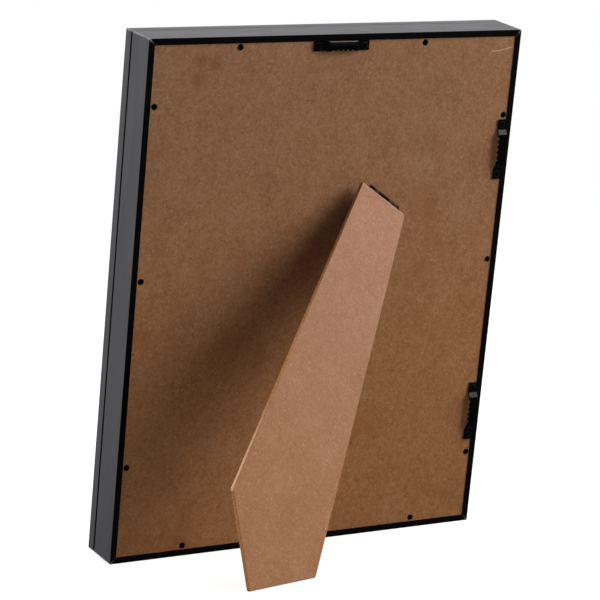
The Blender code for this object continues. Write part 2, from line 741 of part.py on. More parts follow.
def make_tabs(axis, material, rails):
    """Steel points pushed into the rebate's wall at the middle of each door rail."""
    wall = DOOR_RAIL_WIDTH - DOOR_REBATE_WIDTH
    start = wall - TAB_IN_RAIL
    half = TAB_WIDTH / 2
    tab = mesh_from("retaining_tab", box_shape(
        (start, TAB_FRONT, -half), (start + TAB_LENGTH, TAB_FRONT + TAB_THICKNESS, half)))
    slot = mesh_from("tab_slot", box_shape(
        (start - SEAT_GAP, TAB_FRONT - SEAT_GAP, -half - SEAT_GAP),
        (wall + SEAT_GAP, TAB_FRONT + TAB_THICKNESS + SEAT_GAP, half + SEAT_GAP)))
    into_axis = axis.matrix_local.inverted()
    for side in SIDES:
        matrix = into_axis @ side_frame(side)
        cut(rails[side], make_helper("tab_slot_" + side, slot, axis, matrix))
        place("retaining_tab_" + side, tab, axis, matrix, material)


def make_door_hinge(name, height, stance, axis, materials, box_rail, door_rail, screw, screw_hole):
    """Two leaves let into the rails' meeting faces, each held by two screws."""
    hinge = DOOR_HINGE
    centre = Matrix.Translation((-OUTER_WIDTH / 2 - DOOR_HINGE_STANDOFF, SEAM_MIDDLE, height))
    into_axis = axis.matrix_local.inverted()
    inner, outer = hinge["sheet_offset"], hinge["sheet_offset"] + hinge["sheet"]
    half = hinge["length"] / 2
    number = 1
    for own, key, direction, rail, parent, matrix in (
            (0, "frame_leaf", 1, box_rail, stance, centre),
            (1, "door_leaf", -1, door_rail, axis, into_axis @ centre)):
        low, high = sorted((inner * direction, outer * direction))
        leaf = make_leaf(f"{name}_{key}", hinge, own, (low, high), parent, matrix, materials["zinc_steel"])
        # The rail is cut out for the leaf and for the knuckles of both leaves
        beyond = (inner - DOOR_SEAM) * direction
        floor = (outer + SEAT_GAP) * direction
        gain = box_shape((0, min(beyond, floor), -half - SEAT_GAP),
                         (hinge["reach"] + SEAT_GAP, max(beyond, floor), half + SEAT_GAP))
        relief = rod_shape(hinge["knuckle_radius"] + SEAT_GAP, -half - SEAT_GAP, half + SEAT_GAP,
                           ROUND_SEGMENTS)
        for part, shape in (("gain", gain), ("relief", relief)):
            helper_name = f"{leaf.name}_{part}"
            cut(rail, make_helper(helper_name, mesh_from(helper_name, shape), parent, matrix))
        facing = FACING_FRONT if direction > 0 else FACING_BACK
        for sign in (1, -1):
            spot = Matrix.Translation((HINGE_SCREW_REACH, inner * direction, sign * HINGE_SCREW_SPREAD))
            helper = make_helper(f"{name}_screw_hole_{number}", screw_hole, parent, matrix @ spot @ facing)
            cut(leaf, helper)
            cut(rail, helper)
            place(f"{name}_screw_{number}", screw, parent, matrix @ spot @ facing,
                  materials["zinc_steel"], smooth=True)
            number += 1
        bore_leaf(leaf, hinge, parent, matrix)
    make_pin(name + "_pin", hinge, stance, centre, materials["zinc_steel"])


def make_door_hinges(stance, axis, materials, box_rail, door_rail):
    cone = HINGE_SCREW_HEAD_RADIUS - HINGE_SCREW_SHANK_RADIUS
    profile = countersunk_profile(HINGE_SCREW_HEAD_RADIUS, HINGE_SCREW_SHANK_RADIUS,
                                  HINGE_SCREW_HEAD_RIM, cone, HINGE_SCREW_LENGTH)
    screw = screw_mesh("hinge_screw", profile, HINGE_CROSS_LENGTH, HINGE_CROSS_WIDTH, HINGE_CROSS_DEPTH)
    hole = mesh_from("hinge_screw_hole", turned_shape(hole_profile(profile, SEAT_GAP), SMALL_SEGMENTS))
    for name, height in (("door_hinge_upper", OUTER_HEIGHT - DOOR_HINGE_INSET),
                         ("door_hinge_lower", DOOR_HINGE_INSET)):
        make_door_hinge(name, height, stance, axis, materials, box_rail, door_rail, screw, hole)


def make_catch(stance, axis, materials, box_rail, door_rail):
    """Magnets let into the box's right rail and steel discs let into the door's."""
    magnet = mesh_from("magnet", rod_shape(MAGNET_RADIUS, -MAGNET_THICKNESS, 0, ROUND_SEGMENTS))
    strike = mesh_from("strike", rod_shape(STRIKE_RADIUS, -STRIKE_THICKNESS, 0, ROUND_SEGMENTS))
    magnet_bore = mesh_from("magnet_bore", rod_shape(
        MAGNET_RADIUS + SEAT_GAP, -MAGNET_THICKNESS - SEAT_GAP, DOOR_SEAM / 2, ROUND_SEGMENTS))
    strike_bore = mesh_from("strike_bore", rod_shape(
        STRIKE_RADIUS + SEAT_GAP, -STRIKE_THICKNESS - SEAT_GAP, DOOR_SEAM / 2, ROUND_SEGMENTS))
    into_axis = axis.matrix_local.inverted()
    for name, sign in (("upper", 1), ("lower", -1)):
        height = OUTER_HEIGHT / 2 + sign * CATCH_SPREAD
        on_box = Matrix.Translation((OUTER_WIDTH / 2 - CATCH_INSET, BOX_FRONT, height)) @ FACING_FRONT
        on_door = into_axis @ Matrix.Translation(
            (OUTER_WIDTH / 2 - CATCH_INSET, DOOR_BACK, height)) @ FACING_BACK
        cut(box_rail, make_helper(f"magnet_bore_{name}", magnet_bore, stance, on_box))
        cut(door_rail, make_helper(f"strike_bore_{name}", strike_bore, axis, on_door))
        place("magnet_" + name, magnet, stance, on_box, materials["magnet"], smooth=True)
        place("strike_" + name, strike, axis, on_door, materials["zinc_steel"], smooth=True)


# Corner straps

def make_corner_strap(name, parent, sign_x, sign_z, material):
    """A band across one corner of the box, its ends turned back along both walls."""
    front = BOX_FRONT + STRAP_BEHIND_FRONT
    back = front + STRAP_THICKNESS
    slant = STRAP_WIDTH / 2 * sqrt(2)
    low, high = STRAP_FROM_CORNER - slant, STRAP_FROM_CORNER + slant
    gap = SEAT_GAP
    outline = [(low - gap, gap), (high - gap, gap), (gap, high - gap), (gap, low - gap)]
    band = upright_prism(outline, front, back)
    ends = bmesh.new()
    end = back + STRAP_END_LENGTH
    box_shape((low - gap, front, gap), (high - gap, end, gap + STRAP_THICKNESS), ends)
    box_shape((gap, front, low - gap), (gap + STRAP_THICKNESS, end, high - gap), ends)
    corner = Matrix.Translation((-sign_x * (OUTER_WIDTH / 2 - BOX_WALL), 0,
                                 OUTER_HEIGHT / 2 - sign_z * (OUTER_HEIGHT / 2 - BOX_WALL)))
    flip = corner @ Matrix.Diagonal((sign_x, 1, sign_z, 1))
    for shape in (band, ends):
        bmesh.ops.transform(shape, matrix=flip, verts=shape.verts)
    strap = place(name, mesh_from(name, band), parent, material=material)
    combine(strap, make_helper(name + "_ends", mesh_from(name + "_ends", ends), parent), "UNION")


# Stance

def make_empty(name, parent, matrix):
    empty = bpy.data.objects.new(name, None)
    bpy.context.collection.objects.link(empty)
    empty.parent = parent
    empty.matrix_local = matrix
    return empty


def stance_matrix():
    """Lean the frame back about its bottom edge and centre its whole box over the origin."""
    lean = Matrix.Rotation(-LEAN, 4, "X")
    left = -OUTER_WIDTH / 2 - DOOR_HINGE_STANDOFF - DOOR_HINGE["knuckle_radius"]
    right = OUTER_WIDTH / 2
    front = (lean @ Vector((0, DOOR_FRONT, DOOR_FRONT_EASE))).y
    line, down, out = leg_axes(LEG_OPEN)
    outer_face = leg_origin() + out * (EASEL_AXIS_RISE + LEG_THICKNESS)
    back = max((lean @ (outer_face + line * across + down * along)).y for across, along in leg_outline())
    shift = Vector((-(left + right) / 2, -(front + back) / 2, -RIM_EASE * sin(LEAN)))
    return Matrix.Translation(shift) @ lean


def main():
    for leftover in list(bpy.data.objects):
        bpy.data.objects.remove(leftover)
    materials = make_materials()

    stance = make_empty("stance", None, stance_matrix())
    line, down, out = leg_axes(LEG_OPEN)
    easel_axis = make_empty("easel_axis", stance, frame_from(line, down, out, leg_origin()))
    door_axis = make_empty("door_axis", stance, Matrix.Translation(
        (-OUTER_WIDTH / 2 - DOOR_HINGE_STANDOFF, SEAM_MIDDLE, 0)))

    box_rails = make_box_rails(stance, materials["black_foil"])
    panel = make_back_panel(stance, materials["fibreboard"])
    make_panel_screws(stance, materials["black_steel"], panel, box_rails)
    make_hangers(stance, materials, panel, box_rails)
    make_easel(stance, easel_axis, materials, panel)

    door_rails = make_door_rails(stance, door_axis, materials["black_foil"])
    make_glazing(door_axis, materials["clear_sheet"])
    make_mat(door_axis, materials["mat_card"])
    make_tabs(door_axis, materials["zinc_steel"], door_rails)
    make_door_hinges(stance, door_axis, materials, box_rails["left"], door_rails["left"])
    make_catch(stance, door_axis, materials, box_rails["right"], door_rails["right"])

    corners = ((-1, -1), (1, -1), (-1, 1), (1, 1))
    for number, (sign_x, sign_z) in enumerate(corners, 1):
        make_corner_strap(f"corner_strap_{number}", stance, sign_x, sign_z, materials["elastic"])


main()
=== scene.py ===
import math

import bmesh
import bpy
import numpy as np
from mathutils import Matrix, Vector


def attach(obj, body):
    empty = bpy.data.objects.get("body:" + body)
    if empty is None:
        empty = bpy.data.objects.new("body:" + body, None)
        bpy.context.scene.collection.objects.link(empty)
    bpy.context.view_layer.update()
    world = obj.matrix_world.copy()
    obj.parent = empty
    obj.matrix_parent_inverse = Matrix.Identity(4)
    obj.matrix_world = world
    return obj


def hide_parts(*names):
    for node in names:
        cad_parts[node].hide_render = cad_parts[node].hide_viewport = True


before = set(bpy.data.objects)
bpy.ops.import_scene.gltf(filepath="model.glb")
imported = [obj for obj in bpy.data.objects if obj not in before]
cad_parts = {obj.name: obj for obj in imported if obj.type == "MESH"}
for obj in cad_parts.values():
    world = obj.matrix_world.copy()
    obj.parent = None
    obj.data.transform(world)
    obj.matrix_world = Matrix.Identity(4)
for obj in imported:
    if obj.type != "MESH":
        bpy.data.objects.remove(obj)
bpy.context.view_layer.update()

print("art frame loaded:", len(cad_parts), "nodes")

# The art frame's own axes: X across, Y from its front to its back rim, Z up the frame
stance = {"place": (0.00115, -0.0557132, -0.0001085), "leanDegrees": 12.53}
artFrame = {"width": 0.304, "height": 0.381, "boxDepth": 0.0268, "boxWall": 0.012, "rimWidth": 0.0045,
            "ledge": 0.0039, "grooveDepth": 0.003, "grooveWidth": 0.0013, "doorBack": 0.0275,
            "doorFront": 0.0357, "doorRail": 0.020, "doorRebate": 0.006, "doorLip": 0.0026}
frameAxes = (Matrix.Translation(stance["place"])
             @ Matrix.Rotation(-math.radians(stance["leanDegrees"]), 4, "X"))

# The leg's axes: X along its hinge line, Y down the leg, Z out of the panel
legHinge = {"place": (-0.04235, 0.002321, 0.254567), "line": (0.823136, 0.123194, 0.554319),
            "down": (0.511456, 0.263251, -0.817993)}


def axesAt(place, first, second):
    axes = Matrix((first, second, first.cross(second))).transposed().to_4x4()
    axes.translation = place
    return axes


legAxes = axesAt(legHinge["place"], Vector(legHinge["line"]), Vector(legHinge["down"]))


# Camera, lamps, backdrop and floor

photoView = {"place": (1.05155, 1.765503, 0.38315), "turnDegrees": (84.4421, 1.2099, 149.6992),
             "lens": 173.4, "sensor": 36.0}
lamps = {
    "keyLamp": {"side": (-0.774, 0.414, 0.480), "distance": 2.0, "size": 1.6, "watts": 57.0},
    "sideLamp": {"side": (1.0, -0.12, 0.80), "distance": 1.4, "size": 0.6, "watts": 12.0},
    "frontLamp": {"side": (0.30, -1.0, 0.85), "distance": 1.7, "size": 0.7, "watts": 9.0},
}
studio = {"aim": (0.0, 0.0, 0.19), "ambient": 0.01, "backdrop": (1.0, 1.0, 1.0),
          "floorColour": (0.36, 0.36, 0.36), "floorGlow": 0.81, "floorSize": 14.0,
          "nearFloor": 0.35, "farFloor": 1.3}


def addCamera():
    data = bpy.data.cameras.new("photoCamera")
    data.lens = photoView["lens"]
    data.sensor_width = photoView["sensor"]
    data.clip_start = 0.01
    camera = bpy.data.objects.new("photoCamera", data)
    bpy.context.collection.objects.link(camera)
    camera.location = photoView["place"]
    camera.rotation_euler = [math.radians(angle) for angle in photoView["turnDegrees"]]
    bpy.context.scene.camera = camera


def addLamps():
    for name, lamp in lamps.items():
        data = bpy.data.lights.new(name, "AREA")
        data.shape = "DISK"
        data.size = lamp["size"]
        data.energy = lamp["watts"]
        shown = bpy.data.objects.new(name, data)
        bpy.context.collection.objects.link(shown)
        side = Vector(lamp["side"]).normalized()
        shown.location = Vector(studio["aim"]) + side * lamp["distance"]
        shown.rotation_euler = side.to_track_quat("Z", "Y").to_euler()


# Short ways to add nodes

def put(tree, kind, at, inputs=None, **settings):
    node = tree.nodes.new("ShaderNode" + kind)
    node.location = at
    for name, value in settings.items():
        setattr(node, name, value)
    for name, value in (inputs or {}).items():
        plug(tree, value, node.inputs[name])
    return node


def plug(tree, value, socket):
    if isinstance(value, bpy.types.NodeSocket):
        tree.links.new(value, socket)
    else:
        socket.default_value = (*value, 1) if socket.type == "RGBA" else value


def calc(tree, operation, at, first, second=0.0):
    node = put(tree, "Math", at, operation=operation)
    plug(tree, first, node.inputs[0])
    plug(tree, second, node.inputs[1])
    return node.outputs[0]


def times(tree, at, first, second):
    return calc(tree, "MULTIPLY", at, first, second)


def fade(tree, at, value, low, high, atLow=0.0, atHigh=1.0):
    node = put(tree, "MapRange", at, {"Value": value, "From Min": low, "From Max": high,
                                      "To Min": atLow, "To Max": atHigh}, interpolation_type="SMOOTHSTEP")
    return node.outputs["Result"]


def bandMask(tree, at, value, low, high, soft):
    rising = fade(tree, at, value, low - soft, low + soft)
    falling = fade(tree, (at[0], at[1] - 60), value, high - soft, high + soft, 1.0, 0.0)
    return times(tree, (at[0] + 180, at[1]), rising, falling)


def tint(tree, at, amount, first, second):
    node = put(tree, "Mix", at, data_type="RGBA", clamp_factor=True)
    plug(tree, amount, node.inputs[0])
    plug(tree, first, node.inputs[6])
    plug(tree, second, node.inputs[7])
    return node.outputs[2]


def grain(tree, at, place, scale, detail=3.0, roughness=0.5, distortion=0.0):
    node = put(tree, "TexNoise", at, {"Vector": place, "Scale": scale, "Detail": detail,
                                      "Roughness": roughness, "Distortion": distortion})
    return node.outputs["Fac"]


def directions(tree, at, place):
    return put(tree, "SeparateXYZ", at, {"Vector": place}).outputs


def stretch(tree, at, place, scale):
    node = put(tree, "Mapping", at, {"Vector": place, "Scale": scale})
    return node.outputs["Vector"]


def newEffect(name, takes, gives):
    effect = bpy.data.node_groups.new(name, "ShaderNodeTree")
    for way, sockets in (("INPUT", takes), ("OUTPUT", gives)):
        for socketName, kind in sockets.items():
            effect.interface.new_socket(socketName, in_out=way, socket_type="NodeSocket" + kind)
    start = effect.nodes.new("NodeGroupInput")
    start.location = (-1200, 0)
    end = effect.nodes.new("NodeGroupOutput")
    end.location = (1000, 0)
    return effect, start.outputs, end.inputs


def useEffect(tree, effect, at, inputs):
    node = tree.nodes.new("ShaderNodeGroup")
    node.node_tree = effect
    node.location = at
    node.label = effect.name
    for name, value in inputs.items():
        plug(tree, value, node.inputs[name])
    return node.outputs


def newMaterial(name, axes, shaderSettings):
    material = bpy.data.materials.new(name)
    material.use_nodes = True
    tree = material.node_tree
    shader = tree.nodes["Principled BSDF"]
    shader.location = (600, 0)
    tree.nodes["Material Output"].location = (1100, 0)
    for socket, value in shaderSettings.items():
        plug(tree, value, shader.inputs[socket])
    coordinates = put(tree, "TexCoord", (-1400, 0))
    mapping = put(tree, "Mapping", (-1200, 0), {
        "Vector": coordinates.outputs["Object"], "Location": axes.to_translation(),
        "Rotation": axes.to_euler()}, vector_type="TEXTURE")
    return material, tree, shader, mapping.outputs["Vector"]


def coverSurface(tree, shader, colour, roughness, height, bump):
    # The bump is given by its strength and how far it reaches in metres
    plug(tree, colour, shader.inputs["Base Color"])
    plug(tree, roughness, shader.inputs["Roughness"])
    relief = put(tree, "Bump", (350, -420), {"Height": height, "Strength": bump[0], "Distance": bump[1]})
    plug(tree, relief.outputs["Normal"], shader.inputs["Normal"])


def whereSeen(tree, at):
    # 1 for rays that look at the backdrop, 0 for rays that would light the frame from it
    path = put(tree, "LightPath", at)
    seen = calc(tree, "MAXIMUM", (at[0] + 200, at[1]), path.outputs["Is Camera Ray"],
                path.outputs["Is Glossy Ray"])
    return calc(tree, "MAXIMUM", (at[0] + 400, at[1]), seen, path.outputs["Is Transmission Ray"])


def addBackdrop():
    world = bpy.data.worlds.new("studioWhite")
    bpy.context.scene.world = world
    world.use_nodes = True
    tree = world.node_tree
    tree.nodes.clear()
    soft = put(tree, "Background", (0, 0), {"Color": studio["backdrop"], "Strength": studio["ambient"]})
    plain = put(tree, "Background", (0, -150), {"Color": studio["backdrop"], "Strength": 1.0})
    mix = put(tree, "MixShader", (250, 0), {0: whereSeen(tree, (-600, 200)), 1: soft.outputs[0],
                                           2: plain.outputs[0]})
    end = tree.nodes.new("ShaderNodeOutputWorld")
    end.location = (450, 0)
    plug(tree, mix.outputs[0], end.inputs["Surface"])


def addFloor():
    half = studio["floorSize"] / 2
    mesh = bpy.data.meshes.new("paleFloor")
    mesh.from_pydata([(-half, -half, 0), (half, -half, 0), (half, half, 0), (-half, half, 0)], [],
                     [(0, 1, 2, 3)])
    floor = bpy.data.objects.new("paleFloor", mesh)
    bpy.context.collection.objects.link(floor)
    material, tree, shader, place = newMaterial("palePaper", Matrix.Identity(4), {
        "Base Color": studio["floorColour"], "Roughness": 0.9, "Specular IOR Level": 0.0})
    reach = put(tree, "VectorMath", (-900, -900), {0: place}, operation="LENGTH").outputs["Value"]
    brightness = fade(tree, (-600, -900), reach, studio["nearFloor"], studio["farFloor"],
                      studio["floorGlow"], 1.0)
    glow = times(tree, (200, -600), whereSeen(tree, (-600, -600)), brightness)
    light = put(tree, "Emission", (600, -500), {"Color": studio["backdrop"], "Strength": glow})
    both = put(tree, "AddShader", (900, 0), {0: shader.outputs[0], 1: light.outputs[0]})
    plug(tree, both.outputs[0], tree.nodes["Material Output"].inputs["Surface"])
    mesh.materials.append(material)


bpy.context.scene.view_settings.view_transform = "Standard"
addCamera()
addLamps()
addBackdrop()
addFloor()
print("camera, lamps, backdrop and floor ready")


# Effects that several materials share, with their grain in waves per metre

boardGrain = {"clouds": 34.0, "patches": 190.0, "fine": 620.0, "blots": 17.0, "along": 420.0,
              "across": 1500.0, "lightShare": (0.6, 0.55, 1.0), "fibreLight": 0.3, "paleKind": 0.55,
              "fibreFade": (0.58, 0.8), "blotFade": (0.54, 0.76), "rough": (0.74, 0.92),
              "flecks": ((0.0036, 0.09, 0.28, -450), (0.014, 0.035, 0.45, -650))}
foilGrain = {"waves": 60.0, "swell": 6.0, "fine": 1500.0, "smears": (30.0, 90.0, 16.0), "across": 900.0,
             "along": 14.0, "specks": (0.007, 0.05, 0.35), "rough": (0.30, 0.44), "dustRough": 0.4,
             "streaks": (0.92, 1.05), "patches": (0.90, 1.06)}
rubGrain = {"clouds": 300.0, "pits": 2600.0, "scores": (3800.0, 260.0, 420.0)}


def makeSpeckle():
    effect, takes, gives = newEffect("speckle", {
        "Place": "Vector", "Spacing": "Float", "Speck Size": "Float", "Share": "Float"},
        {"Speck": "Float", "Kind": "Float"})
    scale = calc(effect, "DIVIDE", (-900, -100), 1.0, takes["Spacing"])
    cells = put(effect, "TexVoronoi", (-650, 0), {"Vector": takes["Place"], "Scale": scale,
                                                  "Randomness": 1.0})
    split = put(effect, "SeparateColor", (-400, -250), {"Color": cells.outputs["Color"]})
    soft = times(effect, (-650, 250), takes["Speck Size"], 1.8)
    spot = fade(effect, (-150, 100), cells.outputs["Distance"], takes["Speck Size"], soft, 1.0, 0.0)
    chosen = calc(effect, "LESS_THAN", (-150, -150), split.outputs["Red"], takes["Share"])
    plug(effect, times(effect, (150, 0), spot, chosen), gives["Speck"])
    plug(effect, split.outputs["Green"], gives["Kind"])
    return effect


def makeBoardFibre(speckle):
    effect, takes, gives = newEffect("boardFibre", {
        "Place": "Vector", "Board": "Color", "Dark": "Color", "Light": "Color", "Stain": "Color",
        "Cloud": "Float", "Grit": "Float", "Fleck": "Float", "Stains": "Float"},
        {"Colour": "Color", "Roughness": "Float", "Height": "Float"})
    place = takes["Place"]
    clouds = grain(effect, (-900, 500), place, boardGrain["clouds"], 4.0, 0.6)
    patches = grain(effect, (-900, 300), place, boardGrain["patches"], 3.0, 0.6)
    fine = grain(effect, (-900, 100), place, boardGrain["fine"], 4.0, 0.75)
    thin, long = boardGrain["across"], boardGrain["along"]
    levelFibres = stretch(effect, (-900, -100), place, (long, long, thin))
    uprightFibres = stretch(effect, (-900, -300), place, (thin, long, long))
    strands = grain(effect, (-700, -100), levelFibres, 1.0, 3.0)
    sideways = grain(effect, (-700, -300), uprightFibres, 1.0, 3.0)
    fibres = calc(effect, "MAXIMUM", (-450, -200), strands, sideways)
    colour = takes["Board"]
    layers = ((clouds, "Cloud", 0.28, 0.72, 500), (patches, "Cloud", 0.30, 0.70, 300),
              (fine, "Grit", 0.25, 0.75, 100))
    for layer, (noise, share, low, high, height) in enumerate(layers):
        dips = fade(effect, (-650, height), noise, low, 0.5, 1.0, 0.0)
        peaks = fade(effect, (-650, height - 90), noise, 0.5, high)
        paintedHighlight = times(effect, (-650, height - 180), takes[share], boardGrain["lightShare"][layer])
        darker = times(effect, (-450, height), dips, takes[share])
        lighter = times(effect, (-450, height - 90), peaks, paintedHighlight)
        colour = tint(effect, (-200 + 160 * layer, height), darker, colour, takes["Dark"])
        colour = tint(effect, (-120 + 160 * layer, height - 90), lighter, colour, takes["Light"])
    sheen = fade(effect, (-450, -50), fibres, *boardGrain["fibreFade"])
    sheen = times(effect, (-200, -50), sheen, boardGrain["fibreLight"])
    colour = tint(effect, (350, 200), sheen, colour, takes["Light"])
    for spacing, size, share, height in boardGrain["flecks"]:
        flecks = useEffect(effect, speckle, (-450, height), {
            "Place": place, "Spacing": spacing, "Speck Size": size, "Share": share})
        pale = calc(effect, "GREATER_THAN", (-200, height), flecks["Kind"], boardGrain["paleKind"])
        fleckColour = tint(effect, (0, height), pale, takes["Dark"], takes["Light"])
        fleckMask = times(effect, (0, height - 150), flecks["Speck"], takes["Fleck"])
        colour = tint(effect, (500, height + 500), fleckMask, colour, fleckColour)
    blots = grain(effect, (-900, -850), place, boardGrain["blots"], 3.0, 0.55, 0.5)
    blots = fade(effect, (-450, -850), blots, *boardGrain["blotFade"])
    blotMask = times(effect, (-200, -850), blots, takes["Stains"])
    colour = tint(effect, (750, 200), blotMask, colour, takes["Stain"])
    plug(effect, colour, gives["Colour"])
    plug(effect, fade(effect, (750, -100), fine, 0.3, 0.7, *boardGrain["rough"]), gives["Roughness"])
    plug(effect, calc(effect, "ADD", (750, -300), fine, fibres), gives["Height"])
    return effect


def makeFoilSkin(speckle):
    effect, takes, gives = newEffect("foilSkin", {
        "Place": "Vector", "Foil": "Color", "Dust": "Color", "Dust Amount": "Float", "Upright": "Float"},
        {"Colour": "Color", "Roughness": "Float", "Height": "Float", "Gloss": "Float"})
    place = takes["Place"]
    waves = grain(effect, (-900, 300), place, foilGrain["waves"], 2.0)
    fine = grain(effect, (-900, 100), place, foilGrain["fine"], 3.0, 0.6)
    smears = grain(effect, (-700, -100), stretch(effect, (-900, -100), place, foilGrain["smears"]), 1.0, 4.0)
    spacing, size, share = foilGrain["specks"]
    specks = useEffect(effect, speckle, (-700, -350), {
        "Place": place, "Spacing": spacing, "Speck Size": size, "Share": share})
    dust = times(effect, (-400, -350), specks["Speck"], takes["Dust Amount"])
    plug(effect, tint(effect, (0, 200), dust, takes["Foil"], takes["Dust"]), gives["Colour"])
    rough = fade(effect, (-400, -100), smears, 0.3, 0.7, *foilGrain["rough"])
    dusty = times(effect, (-200, -200), dust, foilGrain["dustRough"])
    plug(effect, calc(effect, "ADD", (0, -100), rough, dusty), gives["Roughness"])
    thin, long = foilGrain["across"], foilGrain["along"]
    upright = stretch(effect, (-900, -600), place, (thin, thin, long))
    level = stretch(effect, (-900, -800), place, (long, thin, thin))
    uprightLines = grain(effect, (-700, -600), upright, 1.0, 3.0)
    levelLines = grain(effect, (-700, -800), level, 1.0, 3.0)
    lines = put(effect, "Mix", (-450, -700), {0: takes["Upright"], 2: levelLines, 3: uprightLines})
    streaks = fade(effect, (-250, -700), lines.outputs[0], 0.3, 0.7, *foilGrain["streaks"])
    patches = fade(effect, (-250, -900), smears, 0.3, 0.7, *foilGrain["patches"])
    plug(effect, times(effect, (0, -800), streaks, patches), gives["Gloss"])
    swell = times(effect, (-400, 300), waves, foilGrain["swell"])
    plug(effect, calc(effect, "ADD", (0, -300), swell, fine), gives["Height"])
    return effect


def makeMitreLine():
    effect, takes, gives = newEffect("mitreLine", {
        "Place": "Vector", "Half Width": "Float", "Half Height": "Float", "Line Width": "Float"},
        {"Line": "Float", "Edge Distance": "Float", "Upright": "Float"})
    split = directions(effect, (-950, 0), takes["Place"])
    across = calc(effect, "SUBTRACT", (-550, 200), takes["Half Width"],
                  calc(effect, "ABSOLUTE", (-750, 200), split["X"]))
    raised = calc(effect, "SUBTRACT", (-750, -50), split["Z"], takes["Half Height"])
    along = calc(effect, "SUBTRACT", (-350, -50), takes["Half Height"],
                 calc(effect, "ABSOLUTE", (-550, -50), raised))
    apart = calc(effect, "ABSOLUTE", (50, 100), calc(effect, "SUBTRACT", (-150, 100), across, along))
    plug(effect, fade(effect, (300, 100), apart, 0.0, takes["Line Width"], 1.0, 0.0), gives["Line"])
    plug(effect, calc(effect, "MINIMUM", (50, -150), across, along), gives["Edge Distance"])
    plug(effect, calc(effect, "LESS_THAN", (50, -300), across, along), gives["Upright"])
    return effect


def makeMetalRub():
    effect, takes, gives = newEffect("metalRub", {
        "Place": "Vector", "Metal": "Color", "Rubbed": "Color", "Smooth": "Float", "Dull": "Float"},
        {"Colour": "Color", "Roughness": "Float", "Height": "Float"})
    place = takes["Place"]
    clouds = grain(effect, (-900, 250), place, rubGrain["clouds"], 4.0, 0.6)
    pits = grain(effect, (-900, 50), place, rubGrain["pits"], 3.0, 0.65)
    scores = grain(effect, (-700, -200), stretch(effect, (-900, -200), place, rubGrain["scores"]), 1.0, 2.0)
    rubbed = fade(effect, (-400, 250), clouds, 0.5, 0.75)
    plug(effect, tint(effect, (0, 250), rubbed, takes["Metal"], takes["Rubbed"]), gives["Colour"])
    rough = put(effect, "MapRange", (-150, -50), {"Value": clouds, "From Min": 0.3, "From Max": 0.7,
                                                  "To Min": takes["Dull"], "To Max": takes["Smooth"]})
    plug(effect, rough.outputs["Result"], gives["Roughness"])
    plug(effect, calc(effect, "ADD", (0, -250), pits, scores), gives["Height"])
    return effect


speckle = makeSpeckle()
boardFibre = makeBoardFibre(speckle)
foilSkin = makeFoilSkin(speckle)
mitreLine = makeMitreLine()
metalRub = makeMetalRub()
print("shared effects ready")


# Black foil on the box and door rails

foil = {"side": (0.0080, 0.0063, 0.0115), "rim": (0.0004, 0.0003, 0.0004), "dust": (0.20, 0.19, 0.22),
        "edgeWearAndHighlight": (0.46, 0.42, 0.52), "topGloss": 0.50, "footGloss": 0.27, "levelShare": 0.85,
        "dustAmount": 0.35, "mitreWidth": 0.0013, "rimFade": (0.0007, 0.0002), "innerFade": 0.0004,
        "edgeLineFade": (0.0004, 0.0030), "edgeLineLeft": 0.10, "flawGrain": 700.0, "glossFrom": 0.02,
        "flawFade": (0.35, 0.6, 0.25, 1.0), "bump": (0.05, 0.00005),
        "doorInner": -0.001,  # less than no distance, so that the door is glossy all over
        "shader": {"Specular IOR Level": 0.02, "Coat Roughness": 0.24, "Coat IOR": 1.85}}


def makeFoil(name, backPlane, innerFrom):
    # Glossy outside and, from innerFrom inwards, inside; the rim at the back plane stays dull
    material, tree, shader, place = newMaterial(name, frameAxes, foil["shader"])
    mitre = useEffect(tree, mitreLine, (-900, -100), {
        "Place": place, "Half Width": artFrame["width"] / 2, "Half Height": artFrame["height"] / 2,
        "Line Width": foil["mitreWidth"]})
    skin = useEffect(tree, foilSkin, (-700, 200), {
        "Place": place, "Foil": foil["side"], "Dust": foil["dust"],
        "Dust Amount": foil["dustAmount"], "Upright": mitre["Upright"]})
    split = directions(tree, (-900, -400), place)
    rimStart, rimEnd = (backPlane - below for below in foil["rimFade"])
    onSides = fade(tree, (-500, -400), split["Y"], rimStart, rimEnd, 1.0, 0.0)
    inside = fade(tree, (-500, -800), mitre["Edge Distance"], innerFrom, innerFrom + foil["innerFade"])
    onSides = calc(tree, "MAXIMUM", (-400, -450), onSides, inside)
    colour = tint(tree, (-300, 200), onSides, foil["rim"], skin["Colour"])
    flaws = grain(tree, (-700, -250), place, foil["flawGrain"], 3.0)
    broken = fade(tree, (-500, -250), flaws, *foil["flawFade"])
    # A light line along the mitres and corner edges, partly worn foil and partly a painted highlight
    onEdge = fade(tree, (-500, -600), mitre["Edge Distance"], *foil["edgeLineFade"], 1.0, foil["edgeLineLeft"])
    line = times(tree, (-300, -200), mitre["Line"], broken)
    line = times(tree, (-100, -200), line, onEdge)
    colour = tint(tree, (100, 200), line, colour, foil["edgeWearAndHighlight"])
    # Painted shade: the coat's gloss fades from the top down to the foot, so the sides darken downwards
    gloss = fade(tree, (-300, -500), split["Z"], foil["glossFrom"], artFrame["height"],
                 foil["footGloss"], foil["topGloss"])
    gloss = times(tree, (-100, -500), gloss, skin["Gloss"])
    railShare = fade(tree, (-300, -950), mitre["Upright"], 0.0, 1.0, foil["levelShare"], 1.0)
    gloss = times(tree, (0, -500), gloss, railShare)
    plug(tree, times(tree, (100, -350), onSides, gloss), shader.inputs["Coat Weight"])
    coverSurface(tree, shader, colour, skin["Roughness"], skin["Height"], foil["bump"])
    return material


# Brown fibreboard of the back panel and of the leg

